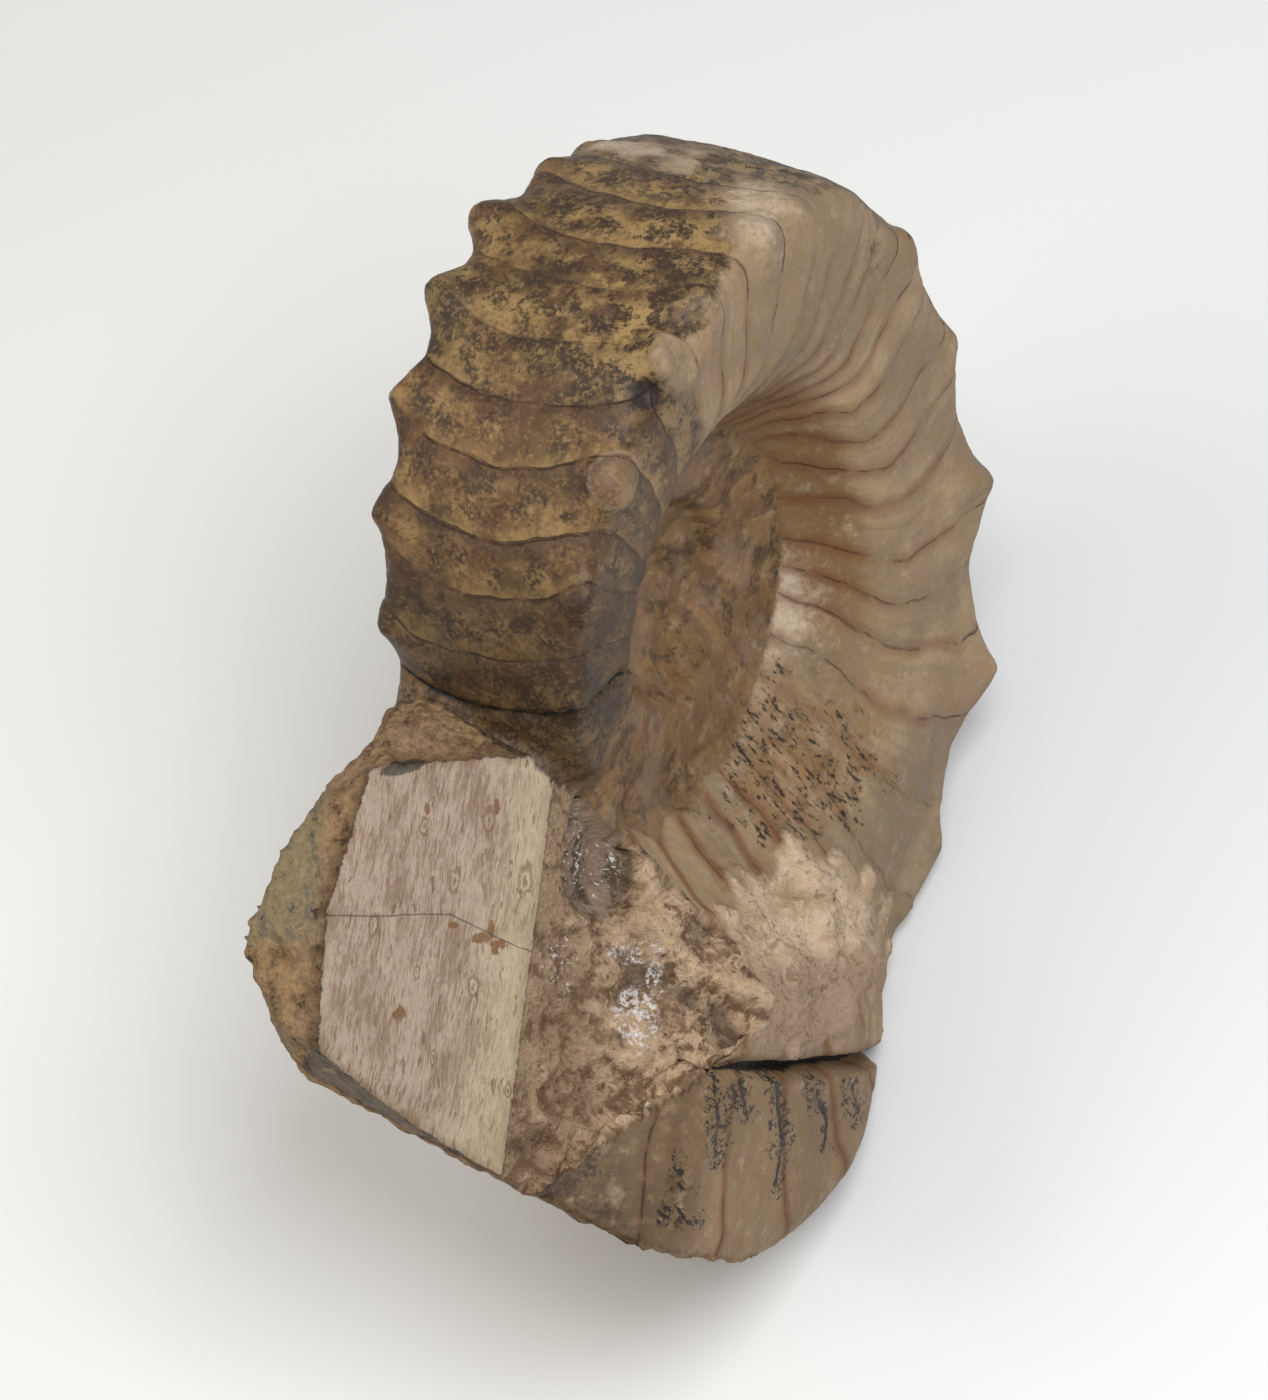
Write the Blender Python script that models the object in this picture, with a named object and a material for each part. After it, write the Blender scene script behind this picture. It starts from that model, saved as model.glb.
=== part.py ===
"""Coiled nautiloid fossil standing on its broad outer edge, in metres, +Z up.

The coil axis is level and runs along Y. The better seen side faces -Y.
"""
import math

import bmesh
import bpy
from mathutils import Matrix, Vector

MM = 0.001

# Coil: turn in degrees, outer radius and half width at the shoulder in mm
GROWTH = [
    (-1110.0, 1.3, 0.4),
    (-810.0, 3.2, 1.0),
    (-630.0, 5.2, 1.7),
    (-450.0, 8.3, 2.8),
    (-240.0, 13.4, 4.5),
    (-90.0, 19.8, 7.4),
    (-20.0, 24.2, 9.3),
    (40.0, 31.0, 11.1),
    (80.0, 34.6, 11.9),
    (100.0, 36.3, 12.1),
    (120.0, 36.4, 12.3),
    (157.0, 39.0, 13.4),
    (220.0, 52.0, 17.2),
    (255.0, 55.5, 17.4),
    (280.0, 55.6, 17.8),
    (311.0, 52.7, 17.0),
    (360.0, 49.0, 16.0),
]
UMBILICAL_RATIO = 0.563
REST_TURN = 40.0

# Half outline of the tube from the middle of the outer edge to the umbilical shoulder, as
# (depth share of the tube's height, half width share, node rise outwards, node rise sideways)
HALF_OUTLINE = [
    (0.015, 0.42, 0.0, 0.0),
    (0.040, 0.72, 0.35, 0.0),
    (0.090, 0.90, 1.0, 0.60),
    (0.180, 0.965, 0.70, 1.0),
    (0.340, 0.99, 0.10, 0.40),
    (0.620, 0.995, 0.0, 0.0),
    (0.860, 0.975, 0.0, 0.0),
    (1.020, 0.897, 0.0, 0.0),
]

# Umbilical wall, as shares of the way from the shoulder to the seam on the whorl inside
WALL_SHARES = [(0.33, 0.24), (0.58, 0.55)]

# Seam and floor of the tube, as shares of the inside whorl's radius and half width
SEAM = (0.99, 1.02)
FLOOR = (0.90, 0.60)

# Paired nodes along both outer shoulders, as (turn in degrees, size on the right, size on the left)
NODES = [
    (-121.0, 0.8, 0.8),
    (-100.0, 0.8, 0.8),
    (-79.0, 0.9, 0.9),
    (-58.0, 1.0, 1.0),
    (-37.0, 1.0, 1.0),
    (-16.0, 0.9, 0.9),
    (6.0, 0.9, 1.0),
    (26.0, 0.9, 1.1),
    (44.0, 0.9, 1.3),
    (59.0, 0.8, 1.3),
    (76.0, 0.6, 0.5),
    (86.0, 0.4, 0.35),
    (96.0, 0.35, 0.1),
    (120.0, 0.5, 0.5),
    (144.0, 0.6, 0.8),
    (168.0, 0.95, 1.0),
    (192.0, 1.1, 1.0),
    (213.0, 0.5, 0.9),
    (234.0, 0.3, 0.9),
    (254.0, 0.1, 0.9),
    (275.0, 0.25, 0.9),
    (296.0, 0.5, 0.7),
    (322.0, 0.8, 1.7),
    (345.0, 0.8, 0.8),
]

# A node is gentle on its later side and steep on its earlier side
NODE_SLOPES = (1.3, 2.6)
NODE_OUT = 0.055
NODE_SIDE = 0.055

# The right shoulder of the last part is worn to an even swelling, between these turns
WORN_RISE = 0.55
WORN_START = (222.0, 262.0)
WORN_END = (292.0, 320.0)

# The left nodes sit a little ahead of the right ones on the first half turn
SKEW = 2.0
SKEW_FADE = (70.0, 110.0)

# The last part of the whorl is broken and lies to the right of the coil plane
SHIFT = 6.9 * MM
SHIFT_TURNS = (222.0, 254.0)

# Lengths of tube that are joined, as turns, and the step between their rings
LAST_PART = (236.0, 342.0)
OUTER_WHORL = (-36.0, 240.0)
MIDDLE_WHORL = (-388.0, -32.0)
INNER_WHORL = (-745.0, -384.0)
OUTER_STEP = 4.0
MIDDLE_STEP = 7.0
INNER_STEP = 12.0

# A length shrinks to this share so that its end lies inside the next one
SEAM_SCALE = 0.985

# Half sizes of the rock in the middle of the coil, in mm
PLUG_RADII = (3.4, 1.3, 3.4)

# Coil centre above the ground, in mm
COIL_CENTRE = (8.13, 3.61, 51.0)
CENTRE = Vector(COIL_CENTRE) * MM

# Frame of the broken end, each as (towards turn 0, towards turn 90, to the right side)
BREAK_RIGHT = (-0.473, 0.188, 0.861)
BREAK_UP = (-0.114, 0.956, -0.272)
BREAK_OUT = (0.874, 0.226, 0.430)

# Planes of the broken end in that frame, as a point in mm and an outward direction
FLAT_FACE = ((-12.0, -15.2, 17.4), (0.253, 0.092, 0.963))
LEDGE = ((-6.3, -16.4, 16.0), (0.154, 0.685, 0.712))
LEDGE_CORNER = ((-20.4, -17.2, 19.8), (-0.585, 0.730, 0.353))
UPPER_BEVEL = ((-20.4, -17.2, 19.8), (-0.455, 0.28, 0.845))
LEFT_BEVEL = ((-23.9, -28.9, 21.8), (-0.455, 0.12, 0.882))
LOWER_CORNER = ((-24.0, -44.4, 23.5), (-0.86, -0.441, 0.14))
CHIP_WALL = ((-8.4, -34.0, 18.3), (0.78, -0.02, 0.62))
CHIP_FLOOR = ((-2.3, -32.0, 11.4), (0.25, 0.20, 0.95))
CHIP_END = ((-9.1, -51.4, 17.9), (0.45, -0.833, -0.3))
LOWER_ROUND = ((3.4, -46.0, 16.2), (0.561, -0.004, 0.828))
LOWER_EDGE = ((-24.3, -43.8, 22.0), (-0.45, -0.89, -0.08))
CUT_SIZE = 120.0 * MM

# Open crack across the right side, as (x, z) corners of the slot in the same frame
CRACK_PROFILE = [(6.5, 9.5), (18.6, -22.0), (28.0, -22.0), (14.0, 14.0)]
CRACK_Y = (-41.9, -43.9)
CRACK_HALF = (0.30, 0.60)

STONE_COLOUR = (0.30, 0.22, 0.14, 1.0)
STONE_ROUGHNESS = 0.75
SHARP_ANGLE = 32.0


def growth_at(turn):
    """Outer radius and half width, smooth through the growth table."""
    rows = GROWTH
    last = len(rows) - 2
    i = 0
    while i < last and turn > rows[i + 1][0]:
        i += 1
    before = rows[max(i - 1, 0)]
    start = rows[i]
    end = rows[i + 1]
    after = rows[min(i + 2, len(rows) - 1)]
    span = end[0] - start[0]
    t = (turn - start[0]) / span
    values = []
    for k in (1, 2):
        slope_in = (end[k] - before[k]) / (end[0] - before[0])
        slope_out = (after[k] - start[k]) / (after[0] - start[0])
        h00 = 2 * t ** 3 - 3 * t ** 2 + 1
        h10 = t ** 3 - 2 * t ** 2 + t
        h01 = -2 * t ** 3 + 3 * t ** 2
        h11 = t ** 3 - t ** 2
        value = h00 * start[k] + h10 * span * slope_in
        value += h01 * end[k] + h11 * span * slope_out
        values.append(value * MM)
    return values


def smooth_step(low, high, value):
    """Rise from 0 at low to 1 at high with level ends."""
    t = min(max((value - low) / (high - low), 0.0), 1.0)
    return t * t * (3 - 2 * t)


def node_height(turn, side):
    """How far one shoulder stands out here, from 0 midway between nodes to a node's size on it."""
    i = 1
    while i < len(NODES) - 1 and turn > NODES[i][0]:
        i += 1
    low = NODES[i - 1]
    high = NODES[i]
    share = min(max((turn - low[0]) / (high[0] - low[0]), 0.0), 1.0)
    column = 1 if side > 0 else 2
    if share < 0.5:
        height = low[column] * abs(2.0 * share - 1.0) ** NODE_SLOPES[0]
    else:
        height = high[column] * abs(2.0 * share - 1.0) ** NODE_SLOPES[1]
    if side > 0:
        worn = smooth_step(WORN_START[0], WORN_START[1], turn)
        worn *= 1.0 - smooth_step(WORN_END[0], WORN_END[1], turn)
        height = max(height, WORN_RISE * worn)
    return height


def section(turn, scale):
    """Closed outline of the tube as (radius, across, side) points, right side first."""
    radius, half = growth_at(turn)
    inner_radius, inner_half = growth_at(turn - 360.0)
    height = radius * (1.0 - UMBILICAL_RATIO)
    shift = SHIFT * smooth_step(SHIFT_TURNS[0], SHIFT_TURNS[1], turn)
    halves = []
    for side in (1, -1):
        rise = radius * node_height(turn, side)
        line = []
        for depth, width, rise_out, rise_side in HALF_OUTLINE:
            r = radius - depth * height + rise_out * NODE_OUT * rise
            x = width * half + rise_side * NODE_SIDE * rise
            line.append((r, side * x + shift))
        shoulder = line[-1]
        seam = (SEAM[0] * inner_radius, side * SEAM[1] * inner_half)
        for share_r, share_x in WALL_SHARES:
            r = shoulder[0] + (seam[0] - shoulder[0]) * share_r
            x = shoulder[1] + (seam[1] - shoulder[1]) * share_x
            line.append((r, x))
        line += [seam, (FLOOR[0] * inner_radius, side * FLOOR[1] * inner_half)]
        halves.append(line)
    outline = [(radius, shift)] + halves[0] + halves[1][::-1]
    middle = radius - 0.5 * height
    points = []
    for r, x in outline:
        points.append((middle + (r - middle) * scale, shift + (x - shift) * scale, x / half))
    return points


def place(turn, r, x, side):
    """Coil position to the standing frame."""
    skew = SKEW * (1.0 - smooth_step(SKEW_FADE[0], SKEW_FADE[1], turn))
    angle = math.radians(turn - skew * side - REST_TURN)
    return Vector((r * math.sin(angle), -x, r * math.cos(angle))) + CENTRE


def stations(start, end, step):
    """Turns from start to end, with every node on a station."""
    stops = [start] + [node[0] for node in NODES if start + 1.0 < node[0] < end - 1.0] + [end]
    turns = []
    for low, high in zip(stops, stops[1:]):
        count = max(1, round((high - low) / step))
        turns += [low + (high - low) * i / count for i in range(count)]
    return turns + [end]


def sweep(name, start, end, step, scale_end=1.0):
    """A closed length of tube between two turns."""
    mesh = bpy.data.meshes.new(name)
    turns = stations(start, end, step)
    bm = bmesh.new()
    rings = []
    for turn in turns:
        share = (turn - start) / (end - start)
        scale = 1.0 + (scale_end - 1.0) * share
        outline = section(turn, scale)
        rings.append([bm.verts.new(place(turn, *point)) for point in outline])
    count = len(rings[0])
    for low, high in zip(rings, rings[1:]):
        for i in range(count):
            j = (i + 1) % count
            bm.faces.new((low[i], low[j], high[j], high[i]))
    bm.faces.new(rings[0][::-1])
    bm.faces.new(rings[-1])
    bmesh.ops.triangulate(bm, faces=bm.faces)
    bmesh.ops.recalc_face_normals(bm, faces=bm.faces)
    bm.to_mesh(mesh)
    bm.free()
    part = bpy.data.objects.new(name, mesh)
    bpy.context.scene.collection.objects.link(part)
    return part


def break_vector(x, y, z):
    """Direction or position in the broken end's frame to the standing frame."""
    toward_0 = x * BREAK_RIGHT[0] + y * BREAK_UP[0] + z * BREAK_OUT[0]
    toward_90 = x * BREAK_RIGHT[1] + y * BREAK_UP[1] + z * BREAK_OUT[1]
    across = x * BREAK_RIGHT[2] + y * BREAK_UP[2] + z * BREAK_OUT[2]
    turn = math.radians(REST_TURN)
    return Vector((
        toward_90 * math.cos(turn) - toward_0 * math.sin(turn),
        -across,
        toward_0 * math.cos(turn) + toward_90 * math.sin(turn),
    ))


def plane_of(values):
    """Point and outward direction of a plane in the standing frame."""
    point, normal = values
    return break_vector(*point) * MM + CENTRE, break_vector(*normal).normalized()


def hull_cutter(name, corners):
    """Convex cutter from its corners."""
    mesh = bpy.data.meshes.new(name)
    bm = bmesh.new()
    for corner in corners:
        bm.verts.new(corner)
    bmesh.ops.convex_hull(bm, input=bm.verts)
    bmesh.ops.recalc_face_normals(bm, faces=bm.faces)
    bm.to_mesh(mesh)
    bm.free()
    cutter = bpy.data.objects.new(name, mesh)
    bpy.context.scene.collection.objects.link(cutter)
    cutter.hide_render = True
    cutter.display_type = "WIRE"
    return cutter


def centre_plug(name):
    """Rock that fills the small hole where the first whorl starts."""
    mesh = bpy.data.meshes.new(name)
    bm = bmesh.new()
    bmesh.ops.create_icosphere(bm, subdivisions=2, radius=MM)
    bmesh.ops.scale(bm, vec=PLUG_RADII, verts=bm.verts)
    bmesh.ops.translate(bm, vec=CENTRE, verts=bm.verts)
    bm.to_mesh(mesh)
    bm.free()
    plug = bpy.data.objects.new(name, mesh)
    bpy.context.scene.collection.objects.link(plug)
    return plug


def plane_cutter(name, values):
    """Block that lies wholly outside a plane."""
    point, normal = plane_of(values)
    side = normal.orthogonal().normalized() * CUT_SIZE
    across = normal.cross(side).normalized() * CUT_SIZE
    corners = []
    for i in (-1, 1):
        for j in (-1, 1):
            base = point + i * side + j * across
            corners += [base, base + normal * CUT_SIZE]
    return hull_cutter(name, corners)


def wedge_cutter(name, first, second):
    """Wedge of the space that is outside both planes."""
    point_a, normal_a = plane_of(first)
    point_b, normal_b = plane_of(second)
    edge = normal_a.cross(normal_b).normalized()
    planes = Matrix((normal_a, normal_b, edge))
    target = Vector((normal_a.dot(point_a), normal_b.dot(point_b), edge.dot(point_a)))
    origin = planes.inverted() @ target
    along_a = edge.cross(normal_a)
    along_b = normal_b.cross(edge)
    if along_a.dot(normal_b) < 0.0:
        along_a.negate()
    if along_b.dot(normal_a) < 0.0:
        along_b.negate()
    corners = []
    for i in (-1, 1):
        base = origin + i * edge * CUT_SIZE
        corners += [base, base + along_a * CUT_SIZE, base + along_b * CUT_SIZE]
    return hull_cutter(name, corners)


def combine(part, other, operation):
    """Join or cut a part with another."""
    step = part.modifiers.new(other.name, "BOOLEAN")
    step.operation = operation
    step.solver = "EXACT"
    step.object = other
    other.hide_render = True
    other.display_type = "WIRE"


def crack_cutter(name):
    """Narrow slot, wider towards the outer edge."""
    corners = []
    for i, (x, z) in enumerate(CRACK_PROFILE):
        k = 1 if i in (1, 2) else 0
        for side in (-1, 1):
            corner = break_vector(x, CRACK_Y[k] + side * CRACK_HALF[k], z) * MM
            corners.append(corner + CENTRE)
    return hull_cutter(name, corners)


def foot_cutter(name):
    """Level block below the ground, which takes the tips off the lowest nodes."""
    corners = []
    for x in (-1, 1):
        for y in (-1, 1):
            for z in (-1, 0):
                corners.append(Vector((x, y, z)) * CUT_SIZE)
    return hull_cutter(name, corners)


bpy.context.scene.unit_settings.system = "METRIC"
for old in list(bpy.data.objects):
    bpy.data.objects.remove(old, do_unlink=True)

last_part = sweep("last_part", LAST_PART[0], LAST_PART[1], OUTER_STEP)
combine(last_part, plane_cutter("flat_face_cut", FLAT_FACE), "DIFFERENCE")
combine(last_part, plane_cutter("ledge_cut", LEDGE), "DIFFERENCE")
combine(last_part, plane_cutter("ledge_corner_cut", LEDGE_CORNER), "DIFFERENCE")
combine(last_part, plane_cutter("upper_bevel_cut", UPPER_BEVEL), "DIFFERENCE")
combine(last_part, plane_cutter("left_bevel_cut", LEFT_BEVEL), "DIFFERENCE")
combine(last_part, plane_cutter("lower_corner_cut", LOWER_CORNER), "DIFFERENCE")
chip = wedge_cutter("chip_cut", CHIP_WALL, CHIP_FLOOR)
combine(chip, plane_cutter("chip_end_cut", CHIP_END), "DIFFERENCE")
combine(last_part, chip, "DIFFERENCE")
combine(last_part, plane_cutter("lower_round_cut", LOWER_ROUND), "DIFFERENCE")
combine(last_part, plane_cutter("lower_edge_cut", LOWER_EDGE), "DIFFERENCE")

fossil = sweep("nautiloid_fossil", OUTER_WHORL[0], OUTER_WHORL[1], OUTER_STEP, SEAM_SCALE)
middle = sweep("middle_whorl", MIDDLE_WHORL[0], MIDDLE_WHORL[1], MIDDLE_STEP, SEAM_SCALE)
inner = sweep("inner_whorl", INNER_WHORL[0], INNER_WHORL[1], INNER_STEP, SEAM_SCALE)
combine(fossil, last_part, "UNION")
combine(fossil, middle, "UNION")
combine(fossil, inner, "UNION")
combine(fossil, centre_plug("centre_plug"), "UNION")
combine(fossil, crack_cutter("crack_cut"), "DIFFERENCE")
combine(fossil, foot_cutter("foot_cut"), "DIFFERENCE")

stone = bpy.data.materials.new("weathered_limestone")
stone.use_nodes = True
shader = stone.node_tree.nodes["Principled BSDF"]
shader.inputs["Base Color"].default_value = STONE_COLOUR
shader.inputs["Roughness"].default_value = STONE_ROUGHNESS
shader.inputs["Metallic"].default_value = 0.0
fossil.data.materials.append(stone)
for face in fossil.data.polygons:
    face.use_smooth = True
fossil.data.set_sharp_from_angle(angle=math.radians(SHARP_ANGLE))
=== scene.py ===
"""Coiled nautiloid fossil on a pale floor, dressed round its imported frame.

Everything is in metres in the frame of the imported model: +Z up, the coil axis level along Y,
the better seen side towards -Y.
"""

import math

import bmesh
import bpy
import numpy as np
from mathutils import Matrix, Vector, noise


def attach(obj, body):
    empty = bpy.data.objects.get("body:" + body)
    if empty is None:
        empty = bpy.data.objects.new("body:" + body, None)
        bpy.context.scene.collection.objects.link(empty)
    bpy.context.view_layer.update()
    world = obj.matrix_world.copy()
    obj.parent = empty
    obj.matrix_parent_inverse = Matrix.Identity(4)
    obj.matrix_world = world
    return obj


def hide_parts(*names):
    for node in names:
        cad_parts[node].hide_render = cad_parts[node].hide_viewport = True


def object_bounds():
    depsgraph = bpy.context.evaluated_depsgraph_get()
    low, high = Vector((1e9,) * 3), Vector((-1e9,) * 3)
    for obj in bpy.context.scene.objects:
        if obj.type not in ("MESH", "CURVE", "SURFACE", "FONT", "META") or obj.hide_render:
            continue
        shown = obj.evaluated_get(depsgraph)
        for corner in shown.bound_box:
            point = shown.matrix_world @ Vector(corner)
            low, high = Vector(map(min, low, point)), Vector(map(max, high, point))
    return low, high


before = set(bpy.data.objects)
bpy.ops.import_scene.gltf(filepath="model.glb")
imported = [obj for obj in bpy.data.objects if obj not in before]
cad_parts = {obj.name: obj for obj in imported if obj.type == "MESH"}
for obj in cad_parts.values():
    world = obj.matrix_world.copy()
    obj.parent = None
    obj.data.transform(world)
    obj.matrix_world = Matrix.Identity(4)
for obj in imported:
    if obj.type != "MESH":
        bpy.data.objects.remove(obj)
CAD_BOX = [list(corner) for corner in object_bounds()]
MM = 0.001

# The fossil: one lump of limestone, the filling of a coiled chambered shell
# with flat sides, a broad outer edge and a row of blunt nodes along each
# outer shoulder. Its last part is broken and pushed to the right.

# Turn in degrees, outer radius and half width in mm
GROWTH = np.array([
    (-1110.0, 1.3, 0.4),
    (-810.0, 3.2, 1.0),
    (-630.0, 5.2, 1.7),
    (-450.0, 8.3, 2.8),
    (-240.0, 13.4, 4.5),
    (-90.0, 19.8, 7.4),
    (-20.0, 24.2, 9.3),
    (40.0, 31.0, 11.1),
    (80.0, 34.6, 11.9),
    (100.0, 36.3, 12.1),
    (120.0, 36.4, 12.3),
    (157.0, 39.0, 13.4),
    (220.0, 52.0, 17.2),
    (255.0, 55.5, 17.4),
    (280.0, 55.6, 17.8),
    (311.0, 52.7, 17.0),
    (360.0, 49.0, 16.0),
])
UMBILICAL_RATIO = 0.563
REST_TURN = 40.0
# Half outline of the tube from the middle of the outer edge to the shoulder of the hollow, as
# (share of the tube's height, share of the half width, node's rise outwards, node's rise sideways)
HALF_OUTLINE = np.array([
    (0.000, 0.0, 0.0, 0.0),
    (0.015, 0.42, 0.0, 0.0),
    (0.040, 0.72, 0.35, 0.0),
    (0.090, 0.90, 1.0, 0.60),
    (0.180, 0.965, 0.70, 1.0),
    (0.340, 0.99, 0.10, 0.40),
    (0.620, 0.995, 0.0, 0.0),
    (0.860, 0.975, 0.0, 0.0),
    (1.020, 0.897, 0.0, 0.0),
])
# Wall of the hollow, as shares of the way from that shoulder to the seam on the whorl inside
WALL_SHARES = [(0.33, 0.24), (0.58, 0.55)]
# Seam and floor of the tube, as shares of the inside whorl's radius and half width
SEAM = (0.99, 1.02)
FLOOR = (0.90, 0.60)
# Nodes as (turn, size on the right, size on the left); the worn and broken ones are small
NODES = np.array([
    (-121.0, 0.8, 0.8), (-100.0, 0.8, 0.8), (-79.0, 0.9, 0.9), (-58.0, 1.0, 1.0), (-37.0, 1.0, 1.0),
    (-16.0, 0.9, 0.9), (6.0, 0.9, 1.0), (26.0, 0.9, 1.1), (44.0, 0.9, 1.3), (59.0, 0.8, 1.3),
    (76.0, 0.6, 0.5), (86.0, 0.4, 0.35), (96.0, 0.35, 0.1), (120.0, 0.5, 0.5), (144.0, 0.6, 0.8),
    (168.0, 0.95, 1.0), (192.0, 1.1, 1.0), (213.0, 0.5, 0.9), (234.0, 0.3, 0.9), (254.0, 0.1, 0.9),
    (275.0, 0.25, 0.9), (296.0, 0.5, 0.7), (322.0, 0.8, 1.7), (345.0, 0.8, 0.8),
])
# A node is gentle on its later side and steep on its earlier side
NODE_SLOPES = (1.3, 2.6)
NODE_OUT = 0.055
NODE_SIDE = 0.055
# The right shoulder of the last part is worn to an even swelling between these turns
WORN_RISE = 0.55
WORN_START = (222.0, 262.0)
WORN_END = (292.0, 320.0)
# The left nodes sit a little ahead of the right ones on the first part of the whorl
SKEW = 2.0
SKEW_FADE = (70.0, 110.0)
# The last part of the whorl lies this many mm to the right of the coil's plane
SHIFT = 6.9
SHIFT_TURNS = (222.0, 254.0)
CENTRE = Vector((8.13, 3.61, 51.0)) * MM


def smooth_step(low, high, value):
    """Rise from 0 at low to 1 at high with level ends, or the other way round where high is the smaller."""
    t = np.clip((value - low) / (high - low), 0.0, 1.0)
    return t * t * (3 - 2 * t)


def growth_at(turn):
    """Outer radius and half width in mm, smooth through the growth table."""
    turn = np.atleast_1d(np.asarray(turn, dtype=float))
    t0 = GROWTH[:, 0]
    i = np.clip(np.searchsorted(t0, turn, side="left") - 1, 0, len(t0) - 2)
    before = GROWTH[np.maximum(i - 1, 0)]
    start = GROWTH[i]
    end = GROWTH[i + 1]
    after = GROWTH[np.minimum(i + 2, len(t0) - 1)]
    span = (end[:, 0] - start[:, 0])[:, None]
    t = ((turn - start[:, 0]) / span[:, 0])[:, None]
    slope_in = (end - before)[:, 1:] / (end - before)[:, :1]
    slope_out = (after - start)[:, 1:] / (after - start)[:, :1]
    value = (2 * t ** 3 - 3 * t ** 2 + 1) * start[:, 1:] + (t ** 3 - 2 * t ** 2 + t) * span * slope_in
    value += (3 * t ** 2 - 2 * t ** 3) * end[:, 1:] + (t ** 3 - t ** 2) * span * slope_out
    return value[:, 0], value[:, 1]


def node_height(turn, side):
    """Height of one shoulder's edge, from 0 midway between two nodes to a node's size on it."""
    turn = np.asarray(turn, dtype=float)
    after = np.clip(np.searchsorted(NODES[:, 0], turn), 1, len(NODES) - 1)
    low, high = NODES[after - 1], NODES[after]
    share = np.clip((turn - low[..., 0]) / (high[..., 0] - low[..., 0]), 0.0, 1.0)
    on_right = np.asarray(side) > 0
    node = np.where((share < 0.5)[..., None], low, high)
    size = np.where(on_right, node[..., 1], node[..., 2])
    slope = np.where(share < 0.5, *NODE_SLOPES)
    worn = WORN_RISE * smooth_step(*WORN_START, turn) * smooth_step(WORN_END[1], WORN_END[0], turn)
    return np.maximum(size * np.abs(2.0 * share - 1.0) ** slope, np.where(on_right, worn, 0.0))


def side_shift(turn):
    return SHIFT * smooth_step(*SHIFT_TURNS, turn)


def skew_at(turn):
    return SKEW * (1.0 - smooth_step(*SKEW_FADE, turn))


def to_standing(turn, r, x, side):
    """Coil position in mm to the standing frame in metres."""
    angle = np.radians(turn - skew_at(turn) * side - REST_TURN)
    return np.stack([r * np.sin(angle), -x, r * np.cos(angle)], axis=-1) * MM + np.array(CENTRE)


def closed_curve(points, steps):
    """Smooth closed curves through rings of points (ring, point, axis)."""
    a = np.roll(points, 1, axis=1)
    c = np.roll(points, -1, axis=1)
    d = np.roll(points, -2, axis=1)
    parts = []
    for k in range(steps):
        t = k / steps
        tangent_in = 0.5 * (c - a)
        tangent_out = 0.5 * (d - points)
        parts.append(
            (2 * t ** 3 - 3 * t ** 2 + 1) * points + (t ** 3 - 2 * t ** 2 + t) * tangent_in
            + (3 * t ** 2 - 2 * t ** 3) * c + (t ** 3 - t ** 2) * tangent_out
        )
    stacked = np.stack(parts, axis=2)
    return stacked.reshape(points.shape[0], -1, points.shape[2])


def in_scene(name, data):
    """A new object in the scene."""
    made = bpy.data.objects.new(name, data)
    bpy.context.scene.collection.objects.link(made)
    return made


def tube(name, start, end, step, scale_end=1.0):
    """A closed length of the shell's filling between two turns."""
    turns = np.linspace(start, end, max(2, int(round((end - start) / step)) + 1))
    radius, half = growth_at(turns)
    inner_radius, inner_half = growth_at(turns - 360.0)
    height = radius * (1.0 - UMBILICAL_RATIO)
    shift = side_shift(turns)
    sides = []
    for side in (1, -1):
        rise = node_height(turns, side) * radius
        line = []
        for depth, width, rise_out, rise_side in HALF_OUTLINE:
            r = radius - depth * height + rise_out * NODE_OUT * rise
            x = side * (width * half + rise_side * NODE_SIDE * rise) + shift
            line.append(np.stack([r, x, x / half], axis=-1))
        shoulder = line[-1]
        seam = np.stack([SEAM[0] * inner_radius, side * SEAM[1] * inner_half], axis=-1)
        for share_r, share_x in WALL_SHARES:
            r = shoulder[:, 0] + (seam[:, 0] - shoulder[:, 0]) * share_r
            x = shoulder[:, 1] + (seam[:, 1] - shoulder[:, 1]) * share_x
            line.append(np.stack([r, x, x / half], axis=-1))
        for r, x in ((seam[:, 0], seam[:, 1]), (FLOOR[0] * inner_radius, side * FLOOR[1] * inner_half)):
            line.append(np.stack([r, x, x / half], axis=-1))
        sides.append(np.stack(line, axis=1))
    outline = np.concatenate([sides[0], sides[1][:, :0:-1]], axis=1)
    outline = closed_curve(outline, steps=3)
    scale = 1.0 + (scale_end - 1.0) * (turns - start) / (end - start)
    middle = radius - 0.5 * height
    r = middle[:, None] + (outline[:, :, 0] - middle[:, None]) * scale[:, None]
    x = shift[:, None] + (outline[:, :, 1] - shift[:, None]) * scale[:, None]
    points = to_standing(turns[:, None], r, x, np.clip(outline[:, :, 2], -1.2, 1.2))
    rings, count = points.shape[:2]
    i, j = np.meshgrid(np.arange(rings - 1), np.arange(count), indexing="ij")
    k = (j + 1) % count
    faces = np.stack([i * count + j, i * count + k, (i + 1) * count + k, (i + 1) * count + j], axis=-1)
    faces = faces.reshape(-1, 4).tolist()
    faces.append(list(range(count))[::-1])
    faces.append(list(range((rings - 1) * count, rings * count)))
    mesh = bpy.data.meshes.new(name)
    mesh.from_pydata(points.reshape(-1, 3).tolist(), [], faces)
    bm = bmesh.new()
    bm.from_mesh(mesh)
    bmesh.ops.triangulate(bm, faces=bm.faces)
    bmesh.ops.recalc_face_normals(bm, faces=bm.faces)
    bm.to_mesh(mesh)
    bm.free()
    return in_scene(name, mesh)


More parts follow.
